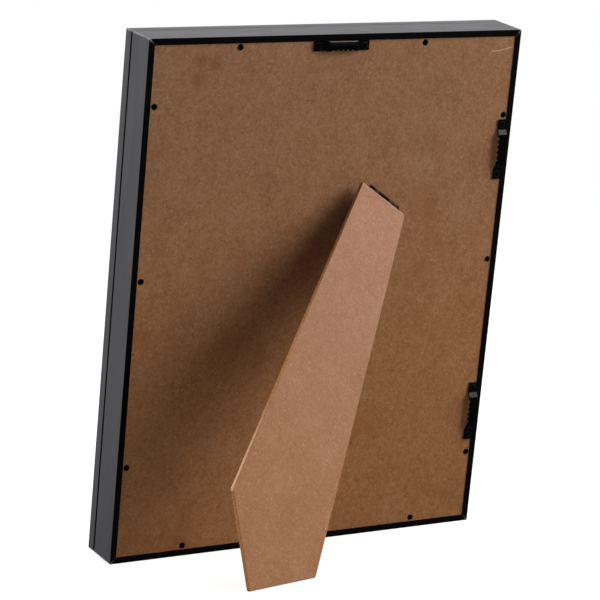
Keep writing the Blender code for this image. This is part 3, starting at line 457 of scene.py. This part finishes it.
board = {
    "panelBoard": {"Dark": (0.185, 0.080, 0.034), "Light": (0.50, 0.31, 0.19), "Stain": (0.27, 0.098, 0.034),
                   "Cloud": 0.26, "Grit": 0.74, "Fleck": 0.42, "Stains": 0.60},
    "legBoard": {"Dark": (0.27, 0.125, 0.062), "Light": (0.61, 0.40, 0.27), "Stain": (0.37, 0.160, 0.075),
                 "Cloud": 0.22, "Grit": 0.48, "Fleck": 0.6, "Stains": 0.35},
}
# Painted light: the board's colour grows warmer from one end to the other, as the light on it changes
boardLightTone = {
    "panelBoard": {"axis": "Z", "from": 0.36, "to": 0.06,
                   "near": (0.336, 0.165, 0.082), "far": (0.370, 0.161, 0.061)},
    "legBoard": {"axis": "Y", "from": 0.02, "to": 0.30,
                 "near": (0.388, 0.203, 0.126), "far": (0.381, 0.180, 0.088)},
}
boardShader = {"Specular IOR Level": 0.01}
boardBump = (0.3, 0.00015)
panelScuffs = {"grain": (20.0, 20.0, 170.0), "fade": (0.70, 0.78), "share": 0.15}
# Soft damp marks on the panel, each with its place across, height, reach and strength
damp = {"colour": (0.230, 0.098, 0.038), "fade": (0.6, 1.7),
        "marks": ((0.1107, 0.3645, 0.0065, 0.50), (0.0990, 0.3620, 0.0065, 0.60),
                  (0.1120, 0.3505, 0.0065, 0.60), (-0.080, 0.300, 0.016, 0.25), (0.110, 0.060, 0.022, 0.25))}
# A pale fibre pressed into the panel's upper corner: its ends, height and how far its outer end lifts
looseFibre = {"outer": -0.1462, "inner": -0.1278, "height": 0.3657, "lift": 0.0026, "halfWidth": 0.00045,
              "share": 0.85, "colour": (0.66, 0.43, 0.28), "core": 0.4, "endFade": 0.0005}
# The sawn edge's pale colour is a painted highlight near the wide corner
sawnEdge = {"colour": (0.58, 0.27, 0.100), "dark": (0.38, 0.165, 0.060), "pale": (0.93, 0.56, 0.34),
            "top": 0.0049, "bottom": 0.0021, "wideCorner": 0.2586, "highlightFrom": (0.17, 0.256),
            "paper": (0.64, 0.46, 0.36), "fray": 0.4, "frayFade": (0.0024, 0.0031), "soft": 0.0004,
            "cornerFade": (0.0003, 0.0015), "highlightAcross": 0.02, "highlightShare": 0.9,
            "grain": (900.0, 900.0, 260.0), "darkFade": (0.35, 0.75)}


def makeBoard(name, axes):
    tone = boardLightTone[name]
    material, tree, shader, place = newMaterial(name, axes, boardShader)
    along = directions(tree, (-1100, 450), place)[tone["axis"]]
    # Painted light: the colour shifts from the near tone to the far one along the board
    lightToneShare = fade(tree, (-950, 450), along, tone["from"], tone["to"])
    base = tint(tree, (-850, 350), lightToneShare, tone["near"], tone["far"])
    fibre = useEffect(tree, boardFibre, (-700, 200), {"Place": place, "Board": base, **board[name]})
    return material, tree, shader, place, fibre


def addDampMarks(tree, place, scuffs, colour):
    for number, (x, z, reach, share) in enumerate(damp["marks"]):
        level = -500 - 200 * number
        away = put(tree, "VectorMath", (-700, level), {0: place, 1: (x, 0.0, z)},
                   operation="DISTANCE").outputs["Value"]
        wander = times(tree, (-700, level - 100), scuffs, reach)
        ragged = calc(tree, "ADD", (-500, level), away, wander)
        inner, outer = (reach * part for part in damp["fade"])
        mark = fade(tree, (-300, level), ragged, inner, outer, share, 0.0)
        colour = tint(tree, (100 + 60 * number, 300), mark, colour, damp["colour"])
    return colour


def addLooseFibre(tree, place, colour):
    split = directions(tree, (-900, -1600), place)
    across, ends = split["X"], (looseFibre["outer"], looseFibre["inner"])
    outward = fade(tree, (-700, -1600), across, *ends, 1.0, 0.0)
    squared = times(tree, (-500, -1600), outward, outward)
    bend = times(tree, (-300, -1600), looseFibre["lift"], squared)
    height = calc(tree, "SUBTRACT", (-700, -1800), split["Z"], looseFibre["height"])
    beside = calc(tree, "ABSOLUTE", (100, -1700), calc(tree, "SUBTRACT", (-100, -1700), height, bend))
    halfWidth = looseFibre["halfWidth"]
    thread = fade(tree, (300, -1700), beside, halfWidth * looseFibre["core"], halfWidth,
                  looseFibre["share"], 0.0)
    along = bandMask(tree, (-700, -2000), across, *ends, looseFibre["endFade"])
    shown = times(tree, (500, -1800), thread, along)
    return tint(tree, (500, 300), shown, colour, looseFibre["colour"])


def makePanelBoard():
    material, tree, shader, place, fibre = makeBoard("panelBoard", frameAxes)
    scuffs = grain(tree, (-700, -300), stretch(tree, (-900, -300), place, panelScuffs["grain"]), 1.0, 2.0)
    scuffed = fade(tree, (-450, -300), scuffs, *panelScuffs["fade"])
    scuffed = times(tree, (-200, -300), scuffed, panelScuffs["share"])
    colour = tint(tree, (0, 200), scuffed, fibre["Colour"], board["panelBoard"]["Light"])
    colour = addDampMarks(tree, place, scuffs, colour)
    colour = addLooseFibre(tree, place, colour)
    coverSurface(tree, shader, colour, fibre["Roughness"], fibre["Height"], boardBump)
    return material


def makeLegBoard():
    # The sawn edge between the faces is darker, has a painted highlight that pales it towards the wide
    # corner, and the top is frayed
    material, tree, shader, place, fibre = makeBoard("legBoard", legAxes)
    split = directions(tree, (-900, -300), place)
    across, down, out = split["X"], split["Y"], split["Z"]
    soft, corner = sawnEdge["soft"], sawnEdge["wideCorner"]
    below = fade(tree, (-600, -300), out, sawnEdge["top"] - soft, sawnEdge["top"], 1.0, 0.0)
    above = fade(tree, (-600, -500), out, sawnEdge["bottom"], sawnEdge["bottom"] + soft)
    sawn = times(tree, (-350, -400), below, above)
    marks = grain(tree, (-600, -700), stretch(tree, (-800, -700), place, sawnEdge["grain"]), 1.0, 3.0)
    marks = fade(tree, (-450, -800), marks, *sawnEdge["darkFade"])
    edgeColour = tint(tree, (-350, -650), marks, sawnEdge["colour"], sawnEdge["dark"])
    nearCorner, pastCorner = (corner + beyond for beyond in sawnEdge["cornerFade"])
    # Painted highlight: the upper side of the sawn edge pales towards the wide corner
    towards = fade(tree, (-600, -950), down, *sawnEdge["highlightFrom"])
    before = fade(tree, (-600, -1100), down, nearCorner, pastCorner, 1.0, 0.0)
    highlightSide = fade(tree, (-350, -1100), across, 0.0, sawnEdge["highlightAcross"], 0.0, sawnEdge["highlightShare"])
    paintedHighlight = times(tree, (-350, -950), towards, before)
    paintedHighlight = times(tree, (-150, -950), paintedHighlight, highlightSide)
    edgeColour = tint(tree, (-100, -650), paintedHighlight, edgeColour, sawnEdge["pale"])
    atTop = fade(tree, (-350, -1250), down, *sawnEdge["frayFade"], 1.0, 0.0)
    frayed = times(tree, (-150, -1250), atTop, sawnEdge["fray"])
    face = tint(tree, (-200, 200), frayed, fibre["Colour"], sawnEdge["paper"])
    colour = tint(tree, (0, 200), sawn, face, edgeColour)
    coverSurface(tree, shader, colour, fibre["Roughness"], fibre["Height"], boardBump)
    return material


# Metals

metals = {
    "blackSteel": {"Metal": (0.0005, 0.0004, 0.0004), "Rubbed": (0.0022, 0.0017, 0.0017),
                   "Smooth": 0.36, "Dull": 0.50, "bump": (0.15, 0.00004), "painted": True},
    "hingeLacquer": {"Metal": (0.0012, 0.0006, 0.0004), "Rubbed": (0.008, 0.005, 0.004),
                     "Smooth": 0.36, "Dull": 0.50, "bump": (0.15, 0.00004), "painted": True},
    "blackNickel": {"Metal": (0.040, 0.038, 0.040), "Rubbed": (0.085, 0.082, 0.083),
                    "Smooth": 0.26, "Dull": 0.42, "bump": (0.12, 0.00004), "painted": False},
    "zincSteel": {"Metal": (0.27, 0.275, 0.29), "Rubbed": (0.42, 0.42, 0.42),
                  "Smooth": 0.24, "Dull": 0.42, "bump": (0.12, 0.00004), "painted": False},
    "nickelMagnet": {"Metal": (0.36, 0.345, 0.325), "Rubbed": (0.48, 0.465, 0.44),
                     "Smooth": 0.12, "Dull": 0.26, "bump": (0.05, 0.00004), "painted": False},
    "stapleWire": {"Metal": (0.32, 0.31, 0.30), "Rubbed": (0.45, 0.44, 0.42),
                   "Smooth": 0.22, "Dull": 0.38, "bump": (0.10, 0.00004), "painted": False},
}
blackPaint = {"Metallic": 0.0, "Specular IOR Level": 0.01}
bareMetal = {"Metallic": 1.0, "Specular IOR Level": 0.5}


def makeMetal(name):
    look = metals[name]
    material, tree, shader, place = newMaterial(name, frameAxes, blackPaint if look["painted"] else bareMetal)
    rub = useEffect(tree, metalRub, (-600, 0), {
        "Place": place, **{socket: look[socket] for socket in ("Metal", "Rubbed", "Smooth", "Dull")}})
    coverSurface(tree, shader, rub["Colour"], rub["Roughness"], rub["Height"], look["bump"])
    return material, tree, shader, place, rub


hingeHighlightsAndGloss = {"brown": (0.065, 0.041, 0.029), "brownGrain": 120.0, "glossGrain": 150.0, "gloss": 0.02,
             "brownFade": (0.50, 0.58), "glossFade": (0.47, 0.62), "coatRoughness": 0.3}


def makeHingeSteel():
    # Black lacquer, glossier in places, with painted highlights as brown patches along the knuckle
    material, tree, shader, place, rub = makeMetal("hingeLacquer")
    shader.inputs["Coat Roughness"].default_value = hingeHighlightsAndGloss["coatRoughness"]
    # Painted highlights: brown patches along the knuckle
    patches = grain(tree, (-700, 400), place, hingeHighlightsAndGloss["brownGrain"], 3.0, 0.6)
    patches = fade(tree, (-450, 400), patches, *hingeHighlightsAndGloss["brownFade"])
    colour = tint(tree, (-200, 400), patches, rub["Colour"], hingeHighlightsAndGloss["brown"])
    plug(tree, colour, shader.inputs["Base Color"])
    shine = grain(tree, (-450, -250), place, hingeHighlightsAndGloss["glossGrain"], 2.0)
    plug(tree, fade(tree, (-200, -250), shine, *hingeHighlightsAndGloss["glossFade"], 0.0, hingeHighlightsAndGloss["gloss"]),
         shader.inputs["Coat Weight"])
    return material


hangerWearAndHighlight = {"topCentre": (0.0, 0.37285), "sideCentres": ((-0.14385, 0.292), (-0.14385, 0.089)),
              "halfLength": 0.0224, "halfWidth": 0.00345, "bridgeHalf": 0.0113, "rampEnd": 0.0149,
              "nailFromEnd": 0.0037, "ringRadius": 0.00225, "ringHalf": 0.00028, "ringSoft": 0.00015,
              "bareEdgeHighlight": (0.27, 0.255, 0.25), "ring": (0.030, 0.028, 0.032), "bareFade": (0.0003, 0.0001),
              "bridgeSoft": 0.0006, "flawGrain": 800.0, "flawFade": (0.35, 0.6), "glossReach": 0.0045,
              "topGloss": 0.10, "rampSoft": 0.0004, "rampGloss": 0.22, "rampFade": (0.01, 0.02),
              "coatRoughness": 0.28}


def makeHangerSteel():
    # Black paint, bare along the top hanger's upper edge where it is also a painted highlight, lighter rings
    # round the nails, glossy on upper ramps
    material, tree, shader, place, rub = makeMetal("blackSteel")
    material.name = "hangerSteel"
    shader.inputs["Coat Roughness"].default_value = hangerWearAndHighlight["coatRoughness"]
    split = directions(tree, (-1000, -600), place)
    across, raised = split["X"], split["Z"]
    middle, centres, bridge = hangerWearAndHighlight["topCentre"], hangerWearAndHighlight["sideCentres"], hangerWearAndHighlight["bridgeHalf"]
    topEdge = middle[1] + hangerWearAndHighlight["halfWidth"]
    # Bare steel along the top hanger's upper edge, partly a painted highlight
    bareEdgeHighlight = fade(tree, (-700, -500), raised, *(topEdge - below for below in hangerWearAndHighlight["bareFade"]))
    onBridge = bandMask(tree, (-700, -650), across, -bridge, bridge, hangerWearAndHighlight["bridgeSoft"])
    bareEdgeHighlight = times(tree, (-300, -500), bareEdgeHighlight, onBridge)
    colour = tint(tree, (100, 300), bareEdgeHighlight, rub["Colour"], hangerWearAndHighlight["bareEdgeHighlight"])
    nailReach = hangerWearAndHighlight["halfLength"] - hangerWearAndHighlight["nailFromEnd"]
    nails = [(middle[0] + way * nailReach, middle[1]) for way in (-1, 1)]
    nails += [(x, z + way * nailReach) for x, z in centres for way in (-1, 1)]
    flat = put(tree, "VectorMath", (-1000, -900), {0: place, 1: (1.0, 0.0, 1.0)},
               operation="MULTIPLY").outputs[0]
    flaws = grain(tree, (-900, -1500), place, hangerWearAndHighlight["flawGrain"], 2.0)
    flaws = fade(tree, (-700, -1500), flaws, *hangerWearAndHighlight["flawFade"])
    radius, half = hangerWearAndHighlight["ringRadius"], hangerWearAndHighlight["ringHalf"]
    # Lighter rings round the nail heads, broken by noise
    for number, (x, z) in enumerate(nails):
        level = -900 - 90 * number
        reach = put(tree, "VectorMath", (-800, level), {0: flat, 1: (x, 0.0, z)},
                    operation="DISTANCE").outputs["Value"]
        ring = bandMask(tree, (-600, level), reach, radius - half, radius + half, hangerWearAndHighlight["ringSoft"])
        nailRingShare = times(tree, (-300, level), ring, flaws)
        colour = tint(tree, (200, 300 - 60 * number), nailRingShare, colour, hangerWearAndHighlight["ring"])
    plug(tree, colour, shader.inputs["Base Color"])
    # Painted shade: the bridge's coat fades from its top edge down, so it darkens lower down
    nearTop = fade(tree, (-500, -1700), raised, topEdge - hangerWearAndHighlight["glossReach"], topEdge,
                   0.0, hangerWearAndHighlight["topGloss"])
    gloss = times(tree, (-300, -1700), onBridge, nearTop)
    for x, z in centres:
        ramp = bandMask(tree, (-700, -1850), raised, z + bridge, z + hangerWearAndHighlight["rampEnd"],
                        hangerWearAndHighlight["rampSoft"])
        beside = fade(tree, (-700, -2000), across, *(x + beyond for beyond in hangerWearAndHighlight["rampFade"]),
                      hangerWearAndHighlight["rampGloss"], 0.0)
        shine = times(tree, (-300, -1850), ramp, beside)
        gloss = calc(tree, "MAXIMUM", (-100, -1850), gloss, shine)
    plug(tree, gloss, shader.inputs["Coat Weight"])
    return material


# Glazing and mat

glass = {"clean": 0.0, "smeared": 0.02, "smearGrain": (14.0, 14.0, 34.0), "smearFade": (0.48, 0.78),
         "specks": (0.011, 0.03, 0.4), "speckHaze": 0.2,
         "shader": {"Base Color": (0.975, 0.985, 0.98), "IOR": 1.5, "Transmission Weight": 1.0}}
card = {"Board": (0.82, 0.80, 0.74), "Dark": (0.70, 0.68, 0.62), "Light": (0.90, 0.89, 0.85),
        "Stain": (0.78, 0.75, 0.67), "Cloud": 0.12, "Grit": 0.25, "Fleck": 0.25, "Stains": 0.15}
cardCore = {"colour": (0.88, 0.87, 0.83), "halfWidth": 0.1015, "halfHeight": 0.1335, "slope": 0.0016,
            "soft": 0.0001, "bump": (0.2, 0.00006), "shader": {"Specular IOR Level": 0.3}}


def makeGlass():
    material, tree, shader, place = newMaterial("clearGlazing", frameAxes, glass["shader"])
    smears = grain(tree, (-800, 0), stretch(tree, (-1000, 0), place, glass["smearGrain"]), 1.0, 4.0, 0.6)
    spacing, size, share = glass["specks"]
    specks = useEffect(tree, speckle, (-800, -250), {
        "Place": place, "Spacing": spacing, "Speck Size": size, "Share": share})
    haze = fade(tree, (-500, 0), smears, *glass["smearFade"], glass["clean"], glass["smeared"])
    dotted = times(tree, (-500, -250), specks["Speck"], glass["speckHaze"])
    plug(tree, calc(tree, "ADD", (-250, 0), haze, dotted), shader.inputs["Roughness"])
    clear = put(tree, "BsdfTransparent", (600, -450))
    path = put(tree, "LightPath", (300, 350))  # light on the card and the board passes straight through
    straight = calc(tree, "MAXIMUM", (600, 350), path.outputs["Is Shadow Ray"],
                    path.outputs["Is Diffuse Ray"])
    both = put(tree, "MixShader", (900, 0), {0: straight, 1: shader.outputs[0], 2: clear.outputs[0]})
    plug(tree, both.outputs[0], tree.nodes["Material Output"].inputs["Surface"])
    return material


def makeCard():
    # Card with a paler core, which shows in the bevel round the window
    material, tree, shader, place = newMaterial("matCard", frameAxes, cardCore["shader"])
    fibre = useEffect(tree, boardFibre, (-700, 200), {"Place": place, **card})
    halfWidth, halfHeight = (cardCore[half] + cardCore["slope"] for half in ("halfWidth", "halfHeight"))
    lift = halfHeight - artFrame["height"] / 2
    fromWindow = put(tree, "VectorMath", (-900, -200), {0: place, 1: (0.0, 0.0, lift)},
                     operation="ADD").outputs[0]
    window = useEffect(tree, mitreLine, (-700, -200), {
        "Place": fromWindow, "Half Width": halfWidth, "Half Height": halfHeight,
        "Line Width": cardCore["soft"]})
    core = fade(tree, (-400, -200), window["Edge Distance"], -cardCore["soft"], cardCore["soft"])
    colour = tint(tree, (0, 200), core, fibre["Colour"], cardCore["colour"])
    coverSurface(tree, shader, colour, fibre["Roughness"], fibre["Height"], cardCore["bump"])
    return material


# Woven elastic

elastic = {"thread": (0.006, 0.006, 0.007), "high": (0.026, 0.026, 0.029), "rubber": (0.08, 0.075, 0.07),
           "ribPitch": 0.0010, "pickPitch": 0.00055, "fuzzGrain": 2600.0, "rubberShare": 0.4,
           "weaveFade": (0.2, 0.9), "rubberFade": (0.62, 0.75), "rough": (0.7, 0.95), "bump": (0.5, 0.00012),
           "shader": {"Specular IOR Level": 0.1, "Sheen Weight": 0.08, "Sheen Roughness": 0.5}}


def makeElastic():
    material, tree, shader, place = newMaterial("wovenElastic", Matrix.Identity(4), elastic["shader"])
    split = directions(tree, (-950, 0), place)
    waves = []
    for axis, pitch, level in (("X", "ribPitch", 150), ("Z", "pickPitch", -150)):
        turns = times(tree, (-950, level), split[axis], math.pi / elastic[pitch])
        waves.append(calc(tree, "ABSOLUTE", (-550, level), calc(tree, "SINE", (-750, level), turns)))
    fuzz = grain(tree, (-750, -300), place, elastic["fuzzGrain"], 3.0, 0.7)
    weave = times(tree, (-300, 50), *waves)
    # Painted shade: the weave is darker in its valleys and paler on its raised threads
    raised = fade(tree, (-300, 250), weave, *elastic["weaveFade"])
    colour = tint(tree, (-100, 150), raised, elastic["thread"], elastic["high"])
    strands = fade(tree, (-300, -300), fuzz, *elastic["rubberFade"])
    strands = times(tree, (-100, -250), strands, elastic["rubberShare"])
    colour = tint(tree, (150, 100), strands, colour, elastic["rubber"])
    roughness = fade(tree, (150, -150), fuzz, 0.3, 0.7, *elastic["rough"])
    relief = calc(tree, "ADD", (150, -350), weave, fuzz)
    coverSurface(tree, shader, colour, roughness, relief, elastic["bump"])
    return material


materials = {
    "boxFoil": makeFoil("boxFoil", 0.0, artFrame["boxWall"]),
    "doorFoil": makeFoil("doorFoil", -artFrame["doorBack"], foil["doorInner"]),
    "panelBoard": makePanelBoard(),
    "legBoard": makeLegBoard(),
    "clearGlazing": makeGlass(),
    "matCard": makeCard(),
    "wovenElastic": makeElastic(),
    "hingeSteel": makeHingeSteel(),
    "hangerSteel": makeHangerSteel(),
    "screwSteel": makeMetal("blackSteel")[0],
    **{name: makeMetal(name)[0] for name in ("blackNickel", "zincSteel", "nickelMagnet", "stapleWire")},
}
print("materials ready:", len(materials))


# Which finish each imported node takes, by the start of its name
nodeFinish = (
    ("box_rail_", "boxFoil"), ("door_rail_", "doorFoil"), ("back_panel", "panelBoard"),
    ("easel_leg", "legBoard"), ("easel_hinge_", "hingeSteel"), ("hanger_", "hangerSteel"),
    ("panel_screw_", "screwSteel"), ("glazing", "clearGlazing"), ("mat_board", "matCard"),
    ("retaining_tab_", "zincSteel"), ("door_hinge_", "blackNickel"), ("strike_", "zincSteel"),
    ("magnet_", "nickelMagnet"),
)
softEdges = {"hanger_top": 0.00015, "hanger_side_upper": 0.00015, "hanger_side_lower": 0.00015,
             "mat_board": 0.00008, "glazing": 0.00012}


def dressNodes():
    for name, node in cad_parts.items():
        for start, finish in nodeFinish:
            if name.startswith(start):
                for slot in node.material_slots:
                    slot.material = materials[finish]
        if name in softEdges:
            ease = node.modifiers.new("softEdges", "BEVEL")
            ease.width = softEdges[name]
            ease.segments = 2
            ease.limit_method = "ANGLE"


dressNodes()
print("packed nodes dressed")


def newPiece(name, mesh, axes, body, material):
    piece = bpy.data.objects.new(name, mesh)
    bpy.context.collection.objects.link(piece)
    piece.matrix_world = axes
    mesh.materials.append(material)
    bpy.context.view_layer.update()
    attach(piece, body)
    return piece


# Elastic straps across the box's corners, with their staples

strap = {"fromCorner": 0.034, "width": 0.012, "thickness": 0.0009, "offWall": 0.00055, "front": -0.0248,
         "endDepth": -0.0164, "foldRadius": 0.0011, "pointsPerRib": 6, "neckIn": 0.045,
         "hem": 0.0005, "hemThin": 0.35, "valley": 0.72, "turnSteps": 6, "endSteps": 7, "longSteps": 22}
staple = {"crown": 0.0085, "wire": 0.00028, "rise": 0.0006, "corner": 0.0005, "below": 0.0030,
          "offWall": 0.00045, "crownBow": 0.00005, "steps": 4, "sides": 8, "flat": (0.8, 1.25)}
sharpAngle = math.radians(50)
strapCentre = strap["fromCorner"] / math.sqrt(2)


def atCorner(signX, signZ, inset, depth):
    # A point in the frame's own axes, inset from both outer sides of one corner
    return Vector((signX * (artFrame["width"] / 2 - inset), depth,
                   artFrame["height"] / 2 + signZ * (artFrame["height"] / 2 - inset)))


def boxCorner(signX, signZ):
    inwards = Vector((-signX, 0.0, -signZ)).normalized()
    wallFoot = atCorner(signX, signZ, artFrame["boxWall"], 0.0)
    return frameAxes @ axesAt(wallFoot, inwards, Vector((0.0, 1.0, 0.0)))


def strapLine(across):
    # One thread's way from wall to wall: along the strap, and in the frame's depth
    wall = across - strap["offWall"] * math.sqrt(2)
    bend, front, end = strap["foldRadius"], strap["front"], strap["endDepth"]
    turnSteps, endSteps, longSteps = strap["turnSteps"], strap["endSteps"], strap["longSteps"]
    turn = [math.radians(90 * k / turnSteps) for k in range(turnSteps + 1)]
    fold = [(bend * (1 - math.cos(a)), bend * (1 - math.sin(a))) for a in turn]
    half = [(-wall, end + (front + bend - end) * k / endSteps) for k in range(endSteps)]
    half += [(-wall + run, front + rise) for run, rise in fold]
    straight = 2 * (wall - bend)
    middle = [(-wall + bend + straight * k / longSteps, front) for k in range(1, longSteps)]
    return half + middle + [(-along, depth) for along, depth in reversed(half)]


def buildStrapMesh(name):
    ribs = round(strap["width"] / elastic["ribPitch"])
    columns = ribs * strap["pointsPerRib"]
    offsets = np.linspace(-0.5, 0.5, columns + 1) * strap["width"]
    lines = []
    for offset in offsets:
        line = np.array([(strapCentre + offset, depth, along)
                         for along, depth in strapLine(strapCentre + offset)])
        share = np.linspace(0, 1, len(line))
        line[:, 0] -= offset * strap["neckIn"] * np.sin(math.pi * share) ** 2
        lines.append(line)
    middle = np.array(lines)
    alongStep = np.gradient(middle, axis=1)
    acrossStep = np.gradient(middle, axis=0)
    normal = np.cross(acrossStep, alongStep)
    normal /= np.linalg.norm(normal, axis=2, keepdims=True)
    ribWave = np.sqrt(np.abs(np.sin(math.pi * offsets / elastic["ribPitch"])))
    hem = np.clip((strap["width"] / 2 - np.abs(offsets)) / strap["hem"], strap["hemThin"], 1.0)
    valley = strap["valley"]
    half = strap["thickness"] / 2 * (valley + (1 - valley) * ribWave) * hem
    raised = middle + normal * half[:, None, None]
    lowered = middle - normal * half[:, None, None]
    rows = middle.shape[1]
    vertices = np.concatenate([raised.reshape(-1, 3), lowered.reshape(-1, 3)])
    count = middle.shape[0] * rows
    faces = []
    for i in range(columns):
        for j in range(rows - 1):
            a, b = i * rows + j, (i + 1) * rows + j
            faces.append((a, a + 1, b + 1, b))
            faces.append((count + a, count + b, count + b + 1, count + a + 1))
    for j in range(rows - 1):
        last = columns * rows + j
        faces.append((j, count + j, count + j + 1, j + 1))
        faces.append((last, last + 1, count + last + 1, count + last))
    for i in range(columns):
        a, b = i * rows, (i + 1) * rows
        faces.append((a, b, count + b, count + a))
        faces.append((a + rows - 1, count + a + rows - 1, count + b + rows - 1, b + rows - 1))
    shape = bmesh.new()
    corners = [shape.verts.new(vertex) for vertex in vertices.tolist()]
    for face in faces:
        shape.faces.new([corners[i] for i in face])
    return smoothMesh(name, shape)


def closeMesh(name, shape):
    bmesh.ops.recalc_face_normals(shape, faces=shape.faces)
    mesh = bpy.data.meshes.new(name)
    shape.to_mesh(mesh)
    shape.free()
    return mesh


def smoothMesh(name, shape):
    mesh = closeMesh(name, shape)
    mesh.shade_smooth()
    mesh.set_sharp_from_angle(angle=sharpAngle)
    return mesh


def sweepWire(name, path, radius):
    # A wire of flattened round section along a path in one plane
    shape = bmesh.new()
    sides, (thin, wide) = staple["sides"], staple["flat"]
    rings = []
    points = [Vector(point) for point in path]
    for i, point in enumerate(points):
        before = points[max(i - 1, 0)]
        after = points[min(i + 1, len(points) - 1)]
        forward = (after - before).normalized()
        side = Vector((0.0, 0.0, 1.0))
        up = side.cross(forward)
        ring = []
        for k in range(sides):
            angle = 2 * math.pi * k / sides
            ring.append(shape.verts.new(point + up * math.cos(angle) * radius * thin
                                        + side * math.sin(angle) * radius * wide))
        rings.append(ring)
    for near, far in zip(rings, rings[1:]):
        for k in range(sides):
            n = (k + 1) % sides
            shape.faces.new((near[k], far[k], far[n], near[n]))
    shape.faces.new(rings[0])
    shape.faces.new(list(reversed(rings[-1])))
    return smoothMesh(name, shape)


def staplePath():
    # X along the crown, Y away from the wall
    half, rise, corner = staple["crown"] / 2, staple["rise"], staple["corner"]
    end = [(-half, staple["crownBow"], 0.0), (-half, rise - corner, 0.0)]
    for k in range(1, staple["steps"] + 1):
        angle = math.radians(90 * k / staple["steps"])
        end.append((-half + corner * (1 - math.cos(angle)), rise - corner + corner * math.sin(angle), 0.0))
    end += [(-half / 2, rise, 0.0), (0.0, rise + staple["crownBow"], 0.0)]
    return end + [(-x, y, z) for x, y, z in reversed(end[:-1])]


def stapleAxes(corner, sign):
    # On the wall at one end of the strap, its crown along the wall
    wallLine = Vector((1.0, 0.0, sign)).normalized()
    offWall = Vector((1.0, 0.0, -sign)).normalized()
    place = Vector((strapCentre, strap["endDepth"] - staple["below"], sign * strapCentre))
    place += offWall * staple["offWall"]
    return corner @ axesAt(place, wallLine, offWall)


def buildStraps():
    corners = ((1, 1), (-1, 1), (1, -1), (-1, -1))
    for number, (signX, signZ) in enumerate(corners, 1):
        corner = boxCorner(signX, signZ)
        name = f"elasticStrap_{number}"
        piece = newPiece(name, buildStrapMesh(name), corner, "frame", materials["wovenElastic"])
        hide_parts(f"corner_strap_{number}")
        for key, sign in (("a", -1), ("b", 1)):
            stapleName = f"strapStaple_{number}{key}"
            mesh = sweepWire(stapleName, staplePath(), staple["wire"])
            newPiece(stapleName, mesh, stapleAxes(corner, sign), "frame",
                                    materials["stapleWire"])


buildStraps()
print("corner straps and staples made")


# Glue that shows as a hairline in the mitres

mitreGlue = {"thickness": 0.00012, "setBack": 0.0003, "colour": (0.035, 0.028, 0.026), "grain": 900.0,
             "pale": (0.10, 0.09, 0.10), "rimEase": 0.0004, "doorEase": 0.0010, "bump": (0.3, 0.00005),
             "paleFade": (0.4, 0.7), "rough": (0.5, 0.8), "shader": {"Specular IOR Level": 0.2}}


def glueOutlines():
    # Sections of the rails, set back all round, as distances in from the outside and depths
    wall, front = artFrame["boxWall"], -artFrame["boxDepth"]
    rim, ledge, back = artFrame["rimWidth"], -artFrame["ledge"], mitreGlue["setBack"]
    shoulder, groove = front + artFrame["grooveWidth"], artFrame["grooveDepth"]
    ease = mitreGlue["rimEase"]
    plain = [(back, -back - ease), (back, front + back), (wall - back, front + back),
             (wall - back, ledge - back), (rim - back, ledge - back), (rim - back, -back),
             (back + ease, -back)]
    grooved = [(back, -back - ease), (back, shoulder + back), (groove + back, shoulder + back),
               (groove + back, front + back)] + plain[2:]
    doorFront, doorBack = -artFrame["doorFront"], -artFrame["doorBack"]
    rail, lip = artFrame["doorRail"], doorFront + artFrame["doorLip"]
    stop, ease = rail - artFrame["doorRebate"], mitreGlue["doorEase"]
    door = [(back, doorBack - back), (back, doorFront + ease), (ease + back, doorFront + back),
            (rail - ease, doorFront + back), (rail - back, doorFront + ease), (rail - back, lip - back),
            (stop - back, lip - back), (stop - back, doorBack - back)]
    return plain, grooved, door


def gluePlate(name, signX, signZ, outline):
    shape = bmesh.new()
    away = Vector((signX, 0.0, -signZ)).normalized() * mitreGlue["thickness"] / 2
    sheets = [[shape.verts.new(atCorner(signX, signZ, inset, depth) + away * way)
               for inset, depth in outline] for way in (-1, 1)]
    shape.faces.new(sheets[0])
    shape.faces.new(list(reversed(sheets[1])))
    for i in range(len(outline)):
        j = (i + 1) % len(outline)
        shape.faces.new((sheets[0][i], sheets[1][i], sheets[1][j], sheets[0][j]))
    return closeMesh(name, shape)


def buildMitreGlue():
    plain, grooved, door = glueOutlines()
    for signX, side in ((-1, "left"), (1, "right")):
        for signZ, level in ((-1, "bottom"), (1, "top")):
            for body, outline in (("frame", grooved if signX > 0 else plain), ("door", door)):
                name = f"mitreGlue_{body}_{side}_{level}"
                mesh = gluePlate(name, signX, signZ, outline)
                newPiece(name, mesh, frameAxes, body, materials["mitreGlue"])


def makeGlue():
    material, tree, shader, place = newMaterial("mitreGlue", frameAxes, mitreGlue["shader"])
    lumps = grain(tree, (-500, 0), place, mitreGlue["grain"], 3.0)
    palest = fade(tree, (-300, 100), lumps, *mitreGlue["paleFade"])
    colour = tint(tree, (0, 100), palest, mitreGlue["colour"], mitreGlue["pale"])
    roughness = fade(tree, (0, -100), lumps, 0.3, 0.7, *mitreGlue["rough"])
    coverSurface(tree, shader, colour, roughness, lumps, mitreGlue["bump"])
    return material


materials["mitreGlue"] = makeGlue()
buildMitreGlue()
print("mitre glue made")
